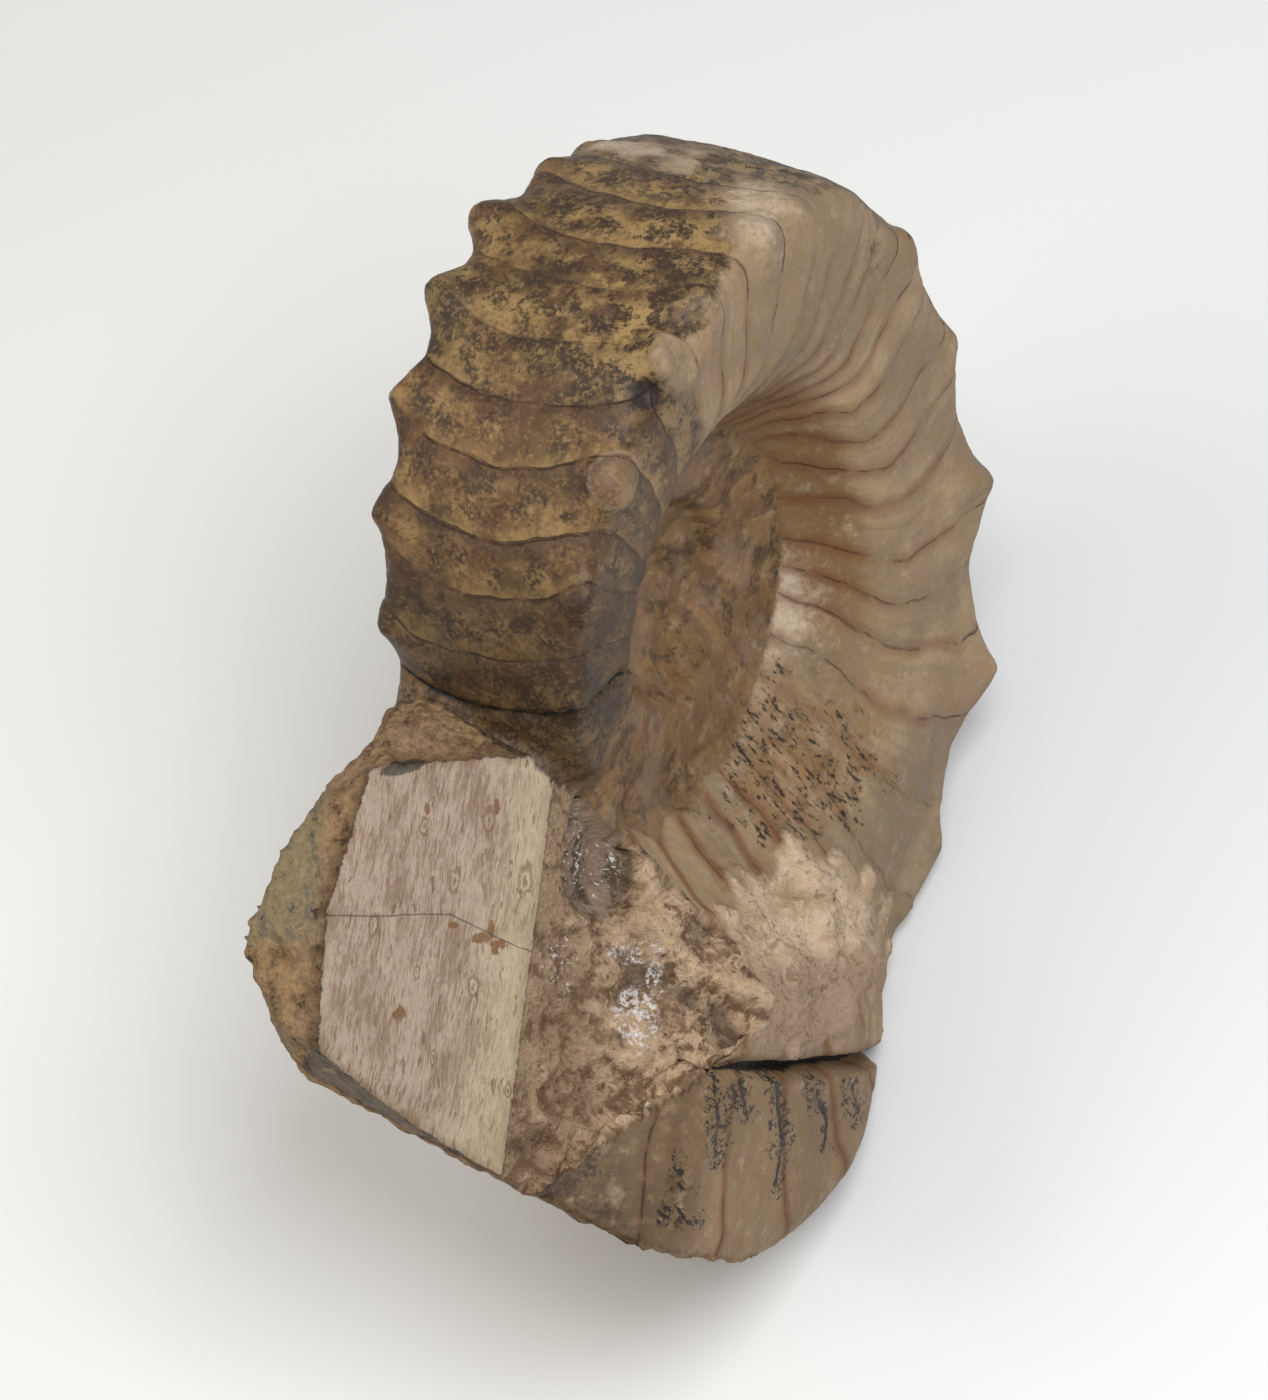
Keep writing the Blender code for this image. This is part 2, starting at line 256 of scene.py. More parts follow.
# The break has its own frame: x across it, y up it and z out of it, each as
# (towards turn 0, towards turn 90, to the right)
BREAK_AXES = np.array([(-0.473, 0.188, 0.861), (-0.114, 0.956, -0.272), (0.874, 0.226, 0.430)])
LEFT, _, RIGHT = np.linalg.svd(BREAK_AXES)
BREAK_AXES = LEFT @ RIGHT
ANGLE = math.radians(REST_TURN)
COIL_TO_WORLD = np.array([
    (-math.sin(ANGLE), 0.0, math.cos(ANGLE)),
    (math.cos(ANGLE), 0.0, math.sin(ANGLE)),
    (0.0, -1.0, 0.0),
])
BREAK_TO_WORLD = BREAK_AXES @ COIL_TO_WORLD


def from_break(point):
    """Position in mm in the break's frame to the standing frame in metres."""
    return Vector(np.array(point) @ BREAK_TO_WORLD * MM) + CENTRE


def break_direction(direction):
    return Vector(np.array(direction) @ BREAK_TO_WORLD).normalized()


# Planes of the break in that frame, as a point in mm and an outward direction
FLAT_FACE = ((-12.0, -15.2, 17.4), (0.253, 0.092, 0.963))
LEDGE = ((-6.3, -16.4, 16.0), (0.154, 0.685, 0.712))
LEDGE_CORNER = ((-20.4, -17.2, 19.8), (-0.585, 0.730, 0.353))
UPPER_BEVEL = ((-20.4, -17.2, 19.8), (-0.455, 0.28, 0.845))
LEFT_BEVEL = ((-23.9, -28.9, 21.8), (-0.455, 0.12, 0.882))
LOWER_CORNER = ((-24.0, -44.4, 23.5), (-0.86, -0.441, 0.14))
CHIP_WALL = ((-8.4, -34.0, 18.3), (0.78, -0.02, 0.62))
CHIP_FLOOR = ((-2.3, -32.0, 11.4), (0.25, 0.20, 0.95))
CHIP_END = ((-9.1, -51.4, 17.9), (-0.45, 0.833, 0.3))
LOWER_ROUND = ((3.4, -46.0, 16.2), (0.561, -0.004, 0.828))
LOWER_EDGE = ((-24.3, -43.8, 22.0), (-0.45, -0.89, -0.08))
CUT_SIZE = 0.12


def hull(name, corners):
    """The closed block that corners span."""
    mesh = bpy.data.meshes.new(name)
    bm = bmesh.new()
    for corner in corners:
        bm.verts.new(corner)
    bmesh.ops.convex_hull(bm, input=bm.verts)
    bmesh.ops.recalc_face_normals(bm, faces=bm.faces)
    bm.to_mesh(mesh)
    bm.free()
    return in_scene(name, mesh)


def beyond_plane(name, plane):
    """A block that holds all rock outside a plane."""
    point, normal = from_break(plane[0]), break_direction(plane[1])
    side = normal.orthogonal().normalized() * CUT_SIZE
    across = normal.cross(side).normalized() * CUT_SIZE
    corners = []
    for i in (-1, 1):
        for j in (-1, 1):
            base = point + i * side + j * across
            corners += [base, base + normal * CUT_SIZE]
    return hull(name, corners)


def beyond_both(name, first, second):
    """A wedge that holds all rock outside two planes at once."""
    point_a, normal_a = from_break(first[0]), break_direction(first[1])
    point_b, normal_b = from_break(second[0]), break_direction(second[1])
    edge = normal_a.cross(normal_b).normalized()
    target = Vector((normal_a.dot(point_a), normal_b.dot(point_b), edge.dot(point_a)))
    origin = Matrix((normal_a, normal_b, edge)).inverted() @ target
    along_a = edge.cross(normal_a)
    along_b = normal_b.cross(edge)
    if along_a.dot(normal_b) < 0.0:
        along_a.negate()
    if along_b.dot(normal_a) < 0.0:
        along_b.negate()
    corners = []
    for i in (-1, 1):
        base = origin + i * edge * CUT_SIZE
        corners += [base, base + along_a * CUT_SIZE, base + along_b * CUT_SIZE]
    return hull(name, corners)


def settled(part):
    """The mesh that a part's modifiers make, kept in place of them."""
    bpy.context.view_layer.update()
    mesh = bpy.data.meshes.new_from_object(part.evaluated_get(bpy.context.evaluated_depsgraph_get()))
    part.modifiers.clear()
    part.data = mesh
    return mesh


def cut(part, cutter):
    step = part.modifiers.new(cutter.name, "BOOLEAN")
    step.operation = "DIFFERENCE"
    step.solver = "EXACT"
    step.object = cutter
    settled(part)
    bpy.data.objects.remove(cutter, do_unlink=True)


# Lengths of tube that are joined, as their first and last turns and the step between their rings;
# all but the last part shrink to a share of their size, so that their ends lie inside the next one
LAST_PART = (236.0, 342.0, 1.5)
OUTER_WHORL = (-36.0, 240.0, 1.5)
MIDDLE_WHORL = (-388.0, -32.0, 2.5)
INNER_WHORL = (-745.0, -384.0, 4.0)
SEAM_SCALE = 0.985
# Half sizes in mm of the rock in the middle of the coil
PLUG_RADII = (3.4, 1.3, 3.4)
SKIN_STEP = 0.51 * MM
last_part = tube("last_part", *LAST_PART)
for name, plane in (
    ("flat_face_cut", FLAT_FACE),
    ("ledge_cut", LEDGE),
    ("ledge_corner_cut", LEDGE_CORNER),
    ("upper_bevel_cut", UPPER_BEVEL),
    ("left_bevel_cut", LEFT_BEVEL),
    ("lower_corner_cut", LOWER_CORNER),
):
    cut(last_part, beyond_plane(name, plane))
chip = beyond_both("chip_cut", CHIP_WALL, CHIP_FLOOR)
cut(chip, beyond_plane("chip_end_cut", (CHIP_END[0], tuple(-c for c in CHIP_END[1]))))
cut(last_part, chip)
cut(last_part, beyond_plane("lower_round_cut", LOWER_ROUND))
cut(last_part, beyond_plane("lower_edge_cut", LOWER_EDGE))
lengths = [
    last_part,
    tube("outer_whorl", *OUTER_WHORL, SEAM_SCALE),
    tube("middle_whorl", *MIDDLE_WHORL, SEAM_SCALE),
    tube("inner_whorl", *INNER_WHORL, SEAM_SCALE),
]
bm = bmesh.new()
for part in lengths:
    bm.from_mesh(part.data)
    bpy.data.objects.remove(part, do_unlink=True)
plug = bmesh.ops.create_icosphere(bm, subdivisions=3, radius=MM)["verts"]
bmesh.ops.scale(bm, vec=PLUG_RADII, verts=plug)
bmesh.ops.translate(bm, vec=CENTRE, verts=plug)
mesh = bpy.data.meshes.new("fossil_stone")
bm.to_mesh(mesh)
bm.free()
fossil = in_scene("fossil_stone", mesh)
remesh = fossil.modifiers.new("even_skin", "REMESH")
remesh.mode = "VOXEL"
remesh.voxel_size = SKIN_STEP
mesh = settled(fossil)
mesh.name = "fossil_stone"

# Where each point of the skin lies: on which turn, how far across the tube and how far down its side.
# It is on the first whorl, from the inside, whose outer edge with 0.6 % of slack lies beyond it.
EDGE_SLACK = 1.006
LAST_TURN = 345.0
count = len(mesh.vertices)
place = np.empty(count * 3)
mesh.vertices.foreach_get("co", place)
place = place.reshape(-1, 3)
local = (place - np.array(CENTRE)) / MM @ COIL_TO_WORLD.T
toward_0, toward_90, across = local.T
r = np.hypot(toward_0, toward_90)
angle = np.degrees(np.arctan2(toward_90, toward_0)) % 360.0
turn = np.full(count, np.nan)
for whorl in (-3, -2, -1, 0):
    guess = angle + 360.0 * whorl
    for _ in range(2):
        half = growth_at(guess)[1]
        lean = np.clip((across - side_shift(guess)) / half, -1.1, 1.1)
        guess = angle + 360.0 * whorl + skew_at(guess) * lean
    guess = np.where(guess > LAST_TURN, guess - 360.0, guess)
    outer = growth_at(guess)[0] * (EDGE_SLACK + NODE_OUT * node_height(guess, lean))
    fits = np.isnan(turn) & (r <= outer)
    turn[fits] = guess[fits]
turn = np.where(np.isnan(turn), angle, turn)
radius, half = growth_at(turn)
inner_radius, inner_half = growth_at(turn - 360.0)
height = radius * (1.0 - UMBILICAL_RATIO)
lean = (across - side_shift(turn)) / half
depth = (radius - r) / height
wall_top = UMBILICAL_RATIO * radius
wall = np.clip((wall_top - r) / np.maximum(wall_top - inner_radius, 0.3), 0.0, 1.0)
side_way = np.sign(lean) * (np.minimum(np.abs(lean), 1.0) + np.clip(depth, 0.0, 1.0) + wall)

# Edges of the chambers, as turns on the middle of the outer edge; each bends back in a shallow lobe
SUTURES = np.array([
    -760.0, -700.0, -645.0, -595.0, -550.0, -510.0, -472.0, -437.0, -405.0, -375.0, -347.0, -320.0,
    -295.0, -272.0, -250.0, -229.0, -209.0, -190.0, -172.0, -155.0, -138.0, -122.0, -107.0, -93.0,
    -79.0, -65.5, -52.0, -39.5, -26.7, -13.7, -0.4, 10.0, 21.9, 32.0, 42.0, 52.0, 61.0, 71.0, 80.0,
    87.0, 93.5, 100.0, 107.0, 113.0, 121.0, 130.0, 138.5, 147.5, 159.6, 168.0, 176.4, 187.0, 198.0,
    209.0, 220.0, 231.0, 243.0, 255.0, 270.0, 284.0, 298.0, 312.0, 326.0, 340.0, 354.0,
])
# The one of them that has opened, round the foot of the narrow part
FOOT_CRACK = 28
lobe = 6.5 * np.minimum(np.abs(lean), 1.0) ** 2 + 3.5 * np.clip(lean, -1.0, 1.0)
rake = np.interp(turn, [60.0, 110.0, 165.0], [-2.0, 0.0, 8.5]) * np.clip(depth, 0.0, 1.0)
rake += np.interp(turn, [120.0, 168.0, 200.0], [-9.0, -1.5, 2.0]) * wall
wobble = np.array([
    noise.noise(Vector(p) * 0.17) + 0.5 * noise.noise(Vector(p) * 0.45) for p in (place / MM).tolist()
])
bent = turn - lobe - rake + np.degrees(0.75 * wobble / np.maximum(r, 4.0))
later = np.clip(np.searchsorted(SUTURES, bent), 1, len(SUTURES) - 1)
span = SUTURES[later] - SUTURES[later - 1]
share = np.clip((bent - SUTURES[later - 1]) / span, 0.0, 1.0)
chamber_length = np.radians(span) * r
edge_gap = np.where(share < 0.5, share, share - 1.0) * chamber_length
# A number from 0 to 1 for each chamber, as if drawn at random
chamber_tint = (np.sin(later * 12.9898) * 43758.5453) % 1.0
right_side = smooth_step(-0.1, 0.35, lean)
inner = smooth_step(-30.0, -45.0, turn)
on_last = turn > 268.5


def swell(value, middle, width):
    """1 where a value is at its middle, fading over a width on both sides."""
    return np.exp(-(((value - middle) / width) ** 2))


# The worn right shoulder of the arch is rounder than the rest, and the whole skin is a little softened
ends = np.empty(len(mesh.edges) * 2, dtype=np.int64)
mesh.edges.foreach_get("vertices", ends)
ends = ends.reshape(-1, 2)
neighbours = np.bincount(ends.ravel(), minlength=count)
softness = 0.9 * swell(turn, 84.0, 30.0) * right_side * swell(np.abs(side_way), 1.1, 0.26)
softness += 0.6 * np.maximum(smooth_step(0.75, 0.95, wall), smooth_step(0.12, 0.04, depth) * (turn < -34.0))
softness = np.where(on_last, 0.0, np.minimum(softness + 0.06, 0.9))


def neighbour_mean(values):
    total = np.bincount(ends[:, 0], values[ends[:, 1]], count)
    total += np.bincount(ends[:, 1], values[ends[:, 0]], count)
    return total / neighbours


for _ in range(16):
    mean = np.stack([neighbour_mean(place[:, k]) for k in range(3)], axis=1)
    place = place + softness[:, None] * (mean - place)
mesh.vertices.foreach_set("co", place.ravel())
mesh.update()
normal = np.empty(count * 3)
mesh.vertices.foreach_get("normal", normal)
normal = normal.reshape(-1, 3)

# Places on the break, in mm in its own frame
broken = (place - np.array(CENTRE)) / MM @ BREAK_TO_WORLD.T
x, y, z = broken.T


def off_plane(plane):
    way = np.array(plane[1]) / np.linalg.norm(plane[1])
    return (broken - np.array(plane[0])) @ way


def beside(path):
    """Distance in mm to a line drawn over the break."""
    gaps = []
    for (x0, y0), (x1, y1) in zip(path, path[1:]):
        length = math.hypot(x1 - x0, y1 - y0)
        along = np.clip(((x - x0) * (x1 - x0) + (y - y0) * (y1 - y0)) / length ** 2, 0.0, 1.0)
        gaps.append(np.hypot(x - x0 - along * (x1 - x0), y - y0 - along * (y1 - y0)))
    return np.min(gaps, axis=0)


def bead(path, width):
    """1 along a line over the break, fading over its width in mm."""
    return swell(beside(path), 0.0, width)


def patch(x0, y0, half_x, half_y, tilt=0.0):
    """An oval over the break, 1 in its middle and a third at its edge."""
    c, s = math.cos(math.radians(tilt)), math.sin(math.radians(tilt))
    across, up = (x - x0) * c + (y - y0) * s, (y - y0) * c - (x - x0) * s
    return np.exp(-((across / half_x) ** 2) - (up / half_y) ** 2)


def near(point):
    """Distance in mm to a point in the break's frame."""
    return np.linalg.norm(broken - np.array(point), axis=1)


def past_flat(across, up):
    """How far in mm a place is to the right of a line that leans as the flat's right edge does."""
    return across - 0.155 * (up + 23.8)


# A point belongs to a cut where it is this close in mm, and an extra gap rules out the wrong stretches
CUT_REACH = 0.45
FLAT_RIGHT = -5.6
BEVELS = (LEDGE, LEDGE_CORNER, UPPER_BEVEL, LEFT_BEVEL, LOWER_CORNER, LOWER_EDGE)
past_rim = past_flat(x, y)
on_arch = z > 20.0
face_gap = np.abs(off_plane(FLAT_FACE))
bevel_gap = np.min([np.abs(off_plane(p)) for p in BEVELS], axis=0)
chip_planes = [off_plane(p) for p in (CHIP_WALL, CHIP_FLOOR, CHIP_END)]
chip_gap = np.min(np.abs(chip_planes), axis=0) + np.where(np.min(chip_planes, axis=0) < -0.5, 9.0, 0.0)
gaps = np.stack([face_gap, bevel_gap, chip_gap]) + np.where(on_last, 0.0, 40.0)
nearest = np.argmin(gaps, axis=0)
is_broken = np.min(gaps, axis=0) < CUT_REACH
on_face = is_broken & (nearest == 0) & (past_rim < FLAT_RIGHT)
on_bevel = is_broken & (nearest == 1)
on_chip = is_broken & (nearest == 2)
face_around = on_last * smooth_step(1.6, 0.9, face_gap) * smooth_step(-4.4, -5.0, past_rim)

# Relief: chambers that swell and step at their edges, worn lumps, pitted rock on the chip
rough = np.empty(count)
fine = np.empty(count)
for i, p in enumerate((place / MM).tolist()):
    q = Vector(p)
    rough[i] = noise.fractal(q * 0.28, 0.9, 2.1, 4)
    fine[i] = noise.fractal(q * 1.1 + Vector((7.0, 3.0, 1.0)), 0.8, 2.1, 2)
step_down = np.tanh(-edge_gap / 0.45) * np.exp(-np.abs(edge_gap) / 2.6)
groove = swell(edge_gap, 0.0, 0.45)
marked = (0.35 + 0.8 * chamber_tint) * (1.0 - 0.9 * inner)
marked *= 1.0 - 0.6 * swell(turn, 72.0, 26.0) * (np.abs(side_way) < 1.1)
rise = marked * (0.06 * (1.0 - (2.0 * share - 1.0) ** 4) + 0.08 * step_down - 0.07 * groove)
rise += 0.16 * rough + 0.045 * fine - 0.10
rise = np.where(is_broken, 0.0, rise)
vug = smooth_step(0.30, 0.62, patch(-2.1, -24.2, 3.2, 6.6) + 0.10 * rough)
striped_hollow = patch(5.4, -25.4, 4.8, 3.6, -20.0)
bridge = bead([(-3.2, -17.8), (1.8, -20.2), (6.2, -22.4), (9.2, -23.0)], 1.2)
rim = bead([(8.2, -22.4), (10.6, -23.8), (11.9, -25.8), (10.8, -27.6), (9.0, -28.2)], 0.8)
shelter = patch(8.3, -29.0, 2.8, 1.5, 35.0)
ridge = bead([(0.8, -30.0), (5.2, -33.2), (9.0, -35.6), (12.0, -36.8)], 0.9)
under_ridge = bead([(0.5, -32.8), (4.6, -35.6), (8.6, -38.0), (12.0, -38.9)], 1.2)
pits = smooth_step(0.15, 0.60, fine)
lumps = (1.0 - np.maximum(0.85 * striped_hollow, 0.45 * vug)) * (1.15 * rough + 0.40 * fine - 0.5 * pits)
low_ridge = bead([(-5.4, -30.0), (-1.0, -29.2), (3.0, -29.8), (6.0, -28.4)], 0.8)
foot_ridge = bead([(-4.0, -40.0), (0.5, -41.5), (4.0, -40.6)], 1.0)
forms = 1.2 * bridge + 1.5 * rim + 1.5 * ridge - 1.7 * vug - 1.0 * striped_hollow
forms -= 1.5 * shelter
forms -= 1.5 * under_ridge
forms += 0.8 * low_ridge - 0.9 * patch(0.0, -36.0, 1.6, 1.3)
forms += 0.7 * foot_ridge - 0.8 * patch(-3.0, -44.0, 2.6, 1.6, 30.0)
# Painted light and shade on the chip: darker in its hollows, lighter on its ridges
relief_shading = on_chip * np.clip(-0.5 * (lumps + forms), -1.0, 1.0)
rise += on_chip * (lumps + forms) * smooth_step(FLAT_RIGHT, -4.0, past_rim)
rise += on_face * (0.03 * rough + 0.02 * fine)
rise += on_bevel * (0.40 * rough + 0.26 * fine)
worn = smooth_step(0.20, 0.62, patch(15.6, -33.0, 8.0, 9.0, -8.0) + 0.22 * rough)
worn *= right_side * ~is_broken * (turn > 215.0) * (y > -42.4)
rise += worn * (1.0 * rough + 0.40 * fine - 0.45 * pits)

# Worn rings where the nodes of the right shoulder have lost their tips, and the broken spur and its hole
HIGH_NODE = (-0.7, 5.9, 29.4)
MIDDLE_NODE = (-2.9, -3.6, 26.6)
LOW_NODE = (-4.6, -12.8, 22.1)
for point, ring, lift in ((HIGH_NODE, 2.1, 0.22), (MIDDLE_NODE, 1.7, 0.24), (LOW_NODE, 0.95, 0.24)):
    gap = near(point)
    rise += lift * swell(gap, ring, 0.5) - lift * swell(gap, 0.0, 0.8 * ring)
spur_top = bead([(2.9, 14.4), (2.5, 17.0), (5.2, 16.0)], 0.7)
spur_foot = bead([(5.2, 16.0), (4.8, 13.6)], 0.6)
spur = np.maximum(spur_top, 0.8 * spur_foot) * on_arch
hole = patch(1.8, 12.7, 1.5, 1.2, -15.0) * on_arch
rise += 1.1 * spur - 1.2 * hole

# Two open cracks: one round the foot of the narrow part, one across the right side below the chip
foot_gap = np.radians(bent - SUTURES[FOOT_CRACK]) * r
foot_gape = swell(foot_gap, 0.0, 0.34) * (np.abs(foot_gap) < 2.0) * smooth_step(-0.95, -0.6, lean)
SIDE_CRACK = [
    (4.0, -41.3), (6.0, -41.4), (9.0, -41.7), (11.9, -42.5), (14.6, -42.9), (18.0, -43.1), (28.0, -43.6),
]
crack_gap = beside(SIDE_CRACK)
crack_side = (x > 4.0) * (lean > 0.3) * (turn > 232.0) * (turn < 305.0)
crack_width = np.interp(x, [4.0, 8.0, 11.5, 21.0], [0.22, 0.34, 0.62, 0.66])
side_gape = np.exp(-((crack_gap / crack_width) ** 4)) * crack_side
rise -= 0.7 * foot_gape + np.interp(x, [4.0, 11.0, 14.0], [0.7, 1.6, 2.6]) * side_gape
place = place + normal * rise[:, None] * MM
place = np.clip(place, np.array(CAD_BOX[0]), np.array(CAD_BOX[1]))
mesh.vertices.foreach_set("co", place.ravel())
mesh.update()

# What covers the stone where: dark crust, warm brown, pale crust with a painted highlight on the arch's
# right shoulder, black ferns, painted shade in seams and cracks and on the inner whorl under the arch
venter = smooth_step(1.34, 0.84, np.abs(side_way))
wall_side = smooth_step(1.95, 2.15, np.abs(side_way))
later_part = smooth_step(42.0, 66.0, turn)
crust = venter * np.interp(turn, [60.0, 130.0, 200.0, 260.0], [0.85, 0.75, 0.62, 0.55])
crust += (1.0 - venter) * (0.74 - (0.50 * right_side + 0.22) * later_part)
crust -= 0.35 * right_side * swell(turn, 88.0, 15.0) * smooth_step(0.50, 0.85, np.abs(side_way))
crust = np.maximum(crust, 0.85 * swell(near((23.6, 24.8, 4.0)), 0.0, 4.5))
crust = np.where(inner > 0.5, 0.40, crust)
warm = np.maximum(wall_side * smooth_step(60.0, 110.0, turn) * smooth_step(205.0, 180.0, turn), inner)
warm = np.maximum(warm, 0.55 * right_side * (turn > 236.0) * (y < -42.0))
pale = 0.62 * patch(13.5, -3.5, 6.0, 7.5) + 0.6 * patch(7.5, -15.5, 3.5, 5.5, -25.0)
pale += 0.35 * smooth_step(0.60, 0.90, wall) * smooth_step(168.0, 186.0, turn)
pale = np.clip(pale * right_side, 0.0, 1.0) * (turn > 150.0) * smooth_step(1.1, 1.5, np.abs(side_way))
# A pale patch on the arch's right shoulder: a painted highlight
shoulder = right_side * smooth_step(1.8, 1.3, np.abs(side_way)) * (turn < 120.0)
pale = np.maximum(pale, 0.75 * patch(10.2, 28.2, 2.6, 5.6, 20.0) * shoulder)
pale = np.maximum(pale, 0.30 * patch(-19.0, 7.0, 3.2, 3.4) * (lean < 0.3) * (turn < 60.0))
spur_pale = patch(3.6, 15.2, 2.2, 2.4) * on_arch
pale = np.maximum(pale, 0.42 * spur_pale)
mottled_wall = np.clip(1.25 * patch(14.0, -15.5, 10.0, 7.5, -12.0), 0.0, 1.0) * right_side * (turn > 150.0)
crust = np.maximum(crust, 0.40 * mottled_wall)
freckled = venter * smooth_step(34.0, 46.0, turn) * smooth_step(118.0, 100.0, turn)
freckled *= 0.55 + 0.45 * right_side
top_wear = venter * swell(turn, 86.0, 7.0) * smooth_step(-0.5, 0.4, rough)
pale = np.maximum(pale, 0.80 * top_wear)
crust -= 0.60 * top_wear + 0.6 * spur_pale
# Less crust under the painted highlight on the arch's right shoulder
crust -= 0.4 * patch(9.6, 27.6, 3.0, 5.5, 20.0) * (turn < 120.0)
FRONDS = (
    [(7.2, -42.4), (7.6, -46.0), (7.3, -49.5)],
    [(12.6, -43.8), (13.2, -49.0), (12.6, -53.0)],
    [(16.2, -45.0), (17.4, -48.0), (17.0, -50.5)],
    [(9.4, -42.8), (9.8, -45.6)],
    [(-0.8, -45.6), (2.2, -43.4)],
    [(1.2, -52.4), (3.6, -54.0), (6.0, -54.6)],
    [(-3.4, -49.5), (0.2, -52.6)],
    [(19.6, -45.2), (20.4, -48.0)],
)
frond_away = np.min([beside(path) for path in FRONDS], axis=0)
frond_side = (lean > 0.1) * (turn > 240.0) * (turn < 342.0) * ~is_broken
hidden_ferns = 0.30 * smooth_step(0.1, 0.35, rough) * (lean < 0.0) * (turn > 150.0)
low_band = patch(12.8, -20.4, 9.0, 3.6) * right_side * (turn > 150.0)
ferns = np.clip(np.maximum(0.72 * mottled_wall + 0.6 * low_band, hidden_ferns), 0.0, 1.0)
low_stain = patch(0.0, -50.0, 7.0, 4.6, -25.0) * frond_side
crust = np.maximum(crust, 0.70 * low_stain)
seam = np.maximum(smooth_step(0.90, 1.0, wall), smooth_step(0.08, 0.03, depth) * (turn < -34.0))
seam *= (turn > -200.0) * (0.28 + 0.42 * patch(9.5, 5.5, 4.0, 11.0, 12.0))
# Painted shade on the inner whorl under the arch, carried with the other painted shade
inner_shade = inner * patch(7.5, 10.0, 4.5, 7.0)
shade_marks = np.clip(seam + 0.95 * hole + 0.50 * patch(1.2, 12.4, 2.8, 1.5, -10.0) * on_arch, 0.0, 1.0)


def blurred(values):
    """The same zone with its edge spread over the neighbouring points."""
    for _ in range(3):
        values = 0.5 * values + 0.5 * neighbour_mean(values)
    return values


# Each layer of the skin holds up to three numbers for every point, which the material reads by its name
for name, values in (
    ("coil", (later - 1 + share, side_way, chamber_length)),
    ("broken", (x, y, z)),
    ("zones", (face_around, on_bevel, on_chip)),
    ("cover", (blurred(crust), blurred(warm), blurred(pale))),
    ("marks", (ferns, np.maximum(shade_marks, 0.45 * inner_shade), mottled_wall)),
    ("wear", (worn, blurred(inner), blurred(freckled))),
    ("fronds", (frond_away, frond_side, low_stain)),
    ("cracks", (foot_gape, crack_side)),
    ("forms", (relief_shading, near(HIGH_NODE), near(LOW_NODE))),
):
    numbers = np.zeros((count, 3), dtype=np.float32)
    for k, value in enumerate(values):
        numbers[:, k] = value
    layer = mesh.attributes.new(name, "FLOAT_VECTOR", "POINT")
    layer.data.foreach_set("vector", numbers.ravel())
for face in mesh.polygons:
    face.use_smooth = True

stone = bpy.data.materials.new("weathered_limestone")
stone.use_nodes = True


class Wire:
    """A socket of the stone's material that can stand in a sum, which adds the Math nodes."""

    def __init__(self, socket):
        self.socket = socket

    @staticmethod
    def node(kind, settings=None, sockets=None, output=0):
        """Any node, from its type, its settings, and the values or wires of its sockets."""
        made = stone.node_tree.nodes.new(kind)
        for name, value in (settings or {}).items():
            setattr(made, name, value)
        for name, value in (sockets or {}).items():
            if isinstance(value, Wire):
                stone.node_tree.links.new(value.socket, made.inputs[name])
            else:
                made.inputs[name].default_value = value
        return Wire(made.outputs[output])

    def math(self, operation, *others):
        return Wire.node("ShaderNodeMath", {"operation": operation}, dict(enumerate((self,) + others)))

    def __add__(self, other):
        return self.math("ADD", other)

    def __radd__(self, other):
        return self.math("ADD", other)

    def __sub__(self, other):
        return self.math("SUBTRACT", other)

    def __rsub__(self, other):
        return Wire.node("ShaderNodeMath", {"operation": "SUBTRACT"}, {0: other, 1: self})

    def __mul__(self, other):
        return self.math("MULTIPLY", other)

    def __rmul__(self, other):
        return self.math("MULTIPLY", other)

    def __abs__(self):
        return self.math("ABSOLUTE")


def between(value, low, high):
    """Rise from 0 at low to 1 at high, or the other way round where high is the smaller."""
    return Wire.node("ShaderNodeMapRange", {"interpolation_type": "SMOOTHSTEP"},
                     {"Value": value, "From Min": low, "From Max": high})


def attribute(name, numbers=3):
    """The numbers of one layer of the skin."""
    layer = Wire.node("ShaderNodeAttribute", {"attribute_name": name}, output=1)
    return [Wire.node("ShaderNodeSeparateXYZ", sockets={0: layer}, output=k) for k in range(numbers)]


def joined(a, b, c):
    """Three numbers as one vector."""
    return Wire.node("ShaderNodeCombineXYZ", sockets={0: a, 1: b, 2: c})


def speckle(scale, detail=4.0, roughness=0.6, shift=0.0, where=None):
    """Grain of about 1 / scale mm, from 0 to 1 round a middle of 0.5."""
    where = where or joined(mm_x + shift, mm_y, mm_z)
    return Wire.node("ShaderNodeTexNoise", sockets={
        "Vector": where, "Scale": scale, "Detail": detail, "Roughness": roughness})


def stained(under, over, share):
    """One colour laid over another by a share from 0 to 1."""
    return Wire.node("ShaderNodeMix", {"data_type": "RGBA"}, {0: share, 6: under, 7: over}, output=2)


def shaded(under, red, green, blue):
    """A colour with its three parts made stronger or weaker."""
    return Wire.node("ShaderNodeMix", {"data_type": "RGBA", "blend_type": "MULTIPLY"}, {
        0: 1.0, 6: under, 7: joined(red, green, blue)}, output=2)


def away(across, up):
    """Length of a way that goes so far across and so far up."""
    return Wire.node("ShaderNodeVectorMath", {"operation": "LENGTH"}, {0: joined(across, up, 0.0)}, output=1)


def tone(red, green, blue):
    """A colour as an eye reads it on a screen, from 0 to 255, to the light that it gives back."""
    values = [v / 255.0 for v in (red, green, blue)]
    return tuple(v / 12.92 if v < 0.04045 else ((v + 0.055) / 1.055) ** 2.4 for v in values) + (1.0,)


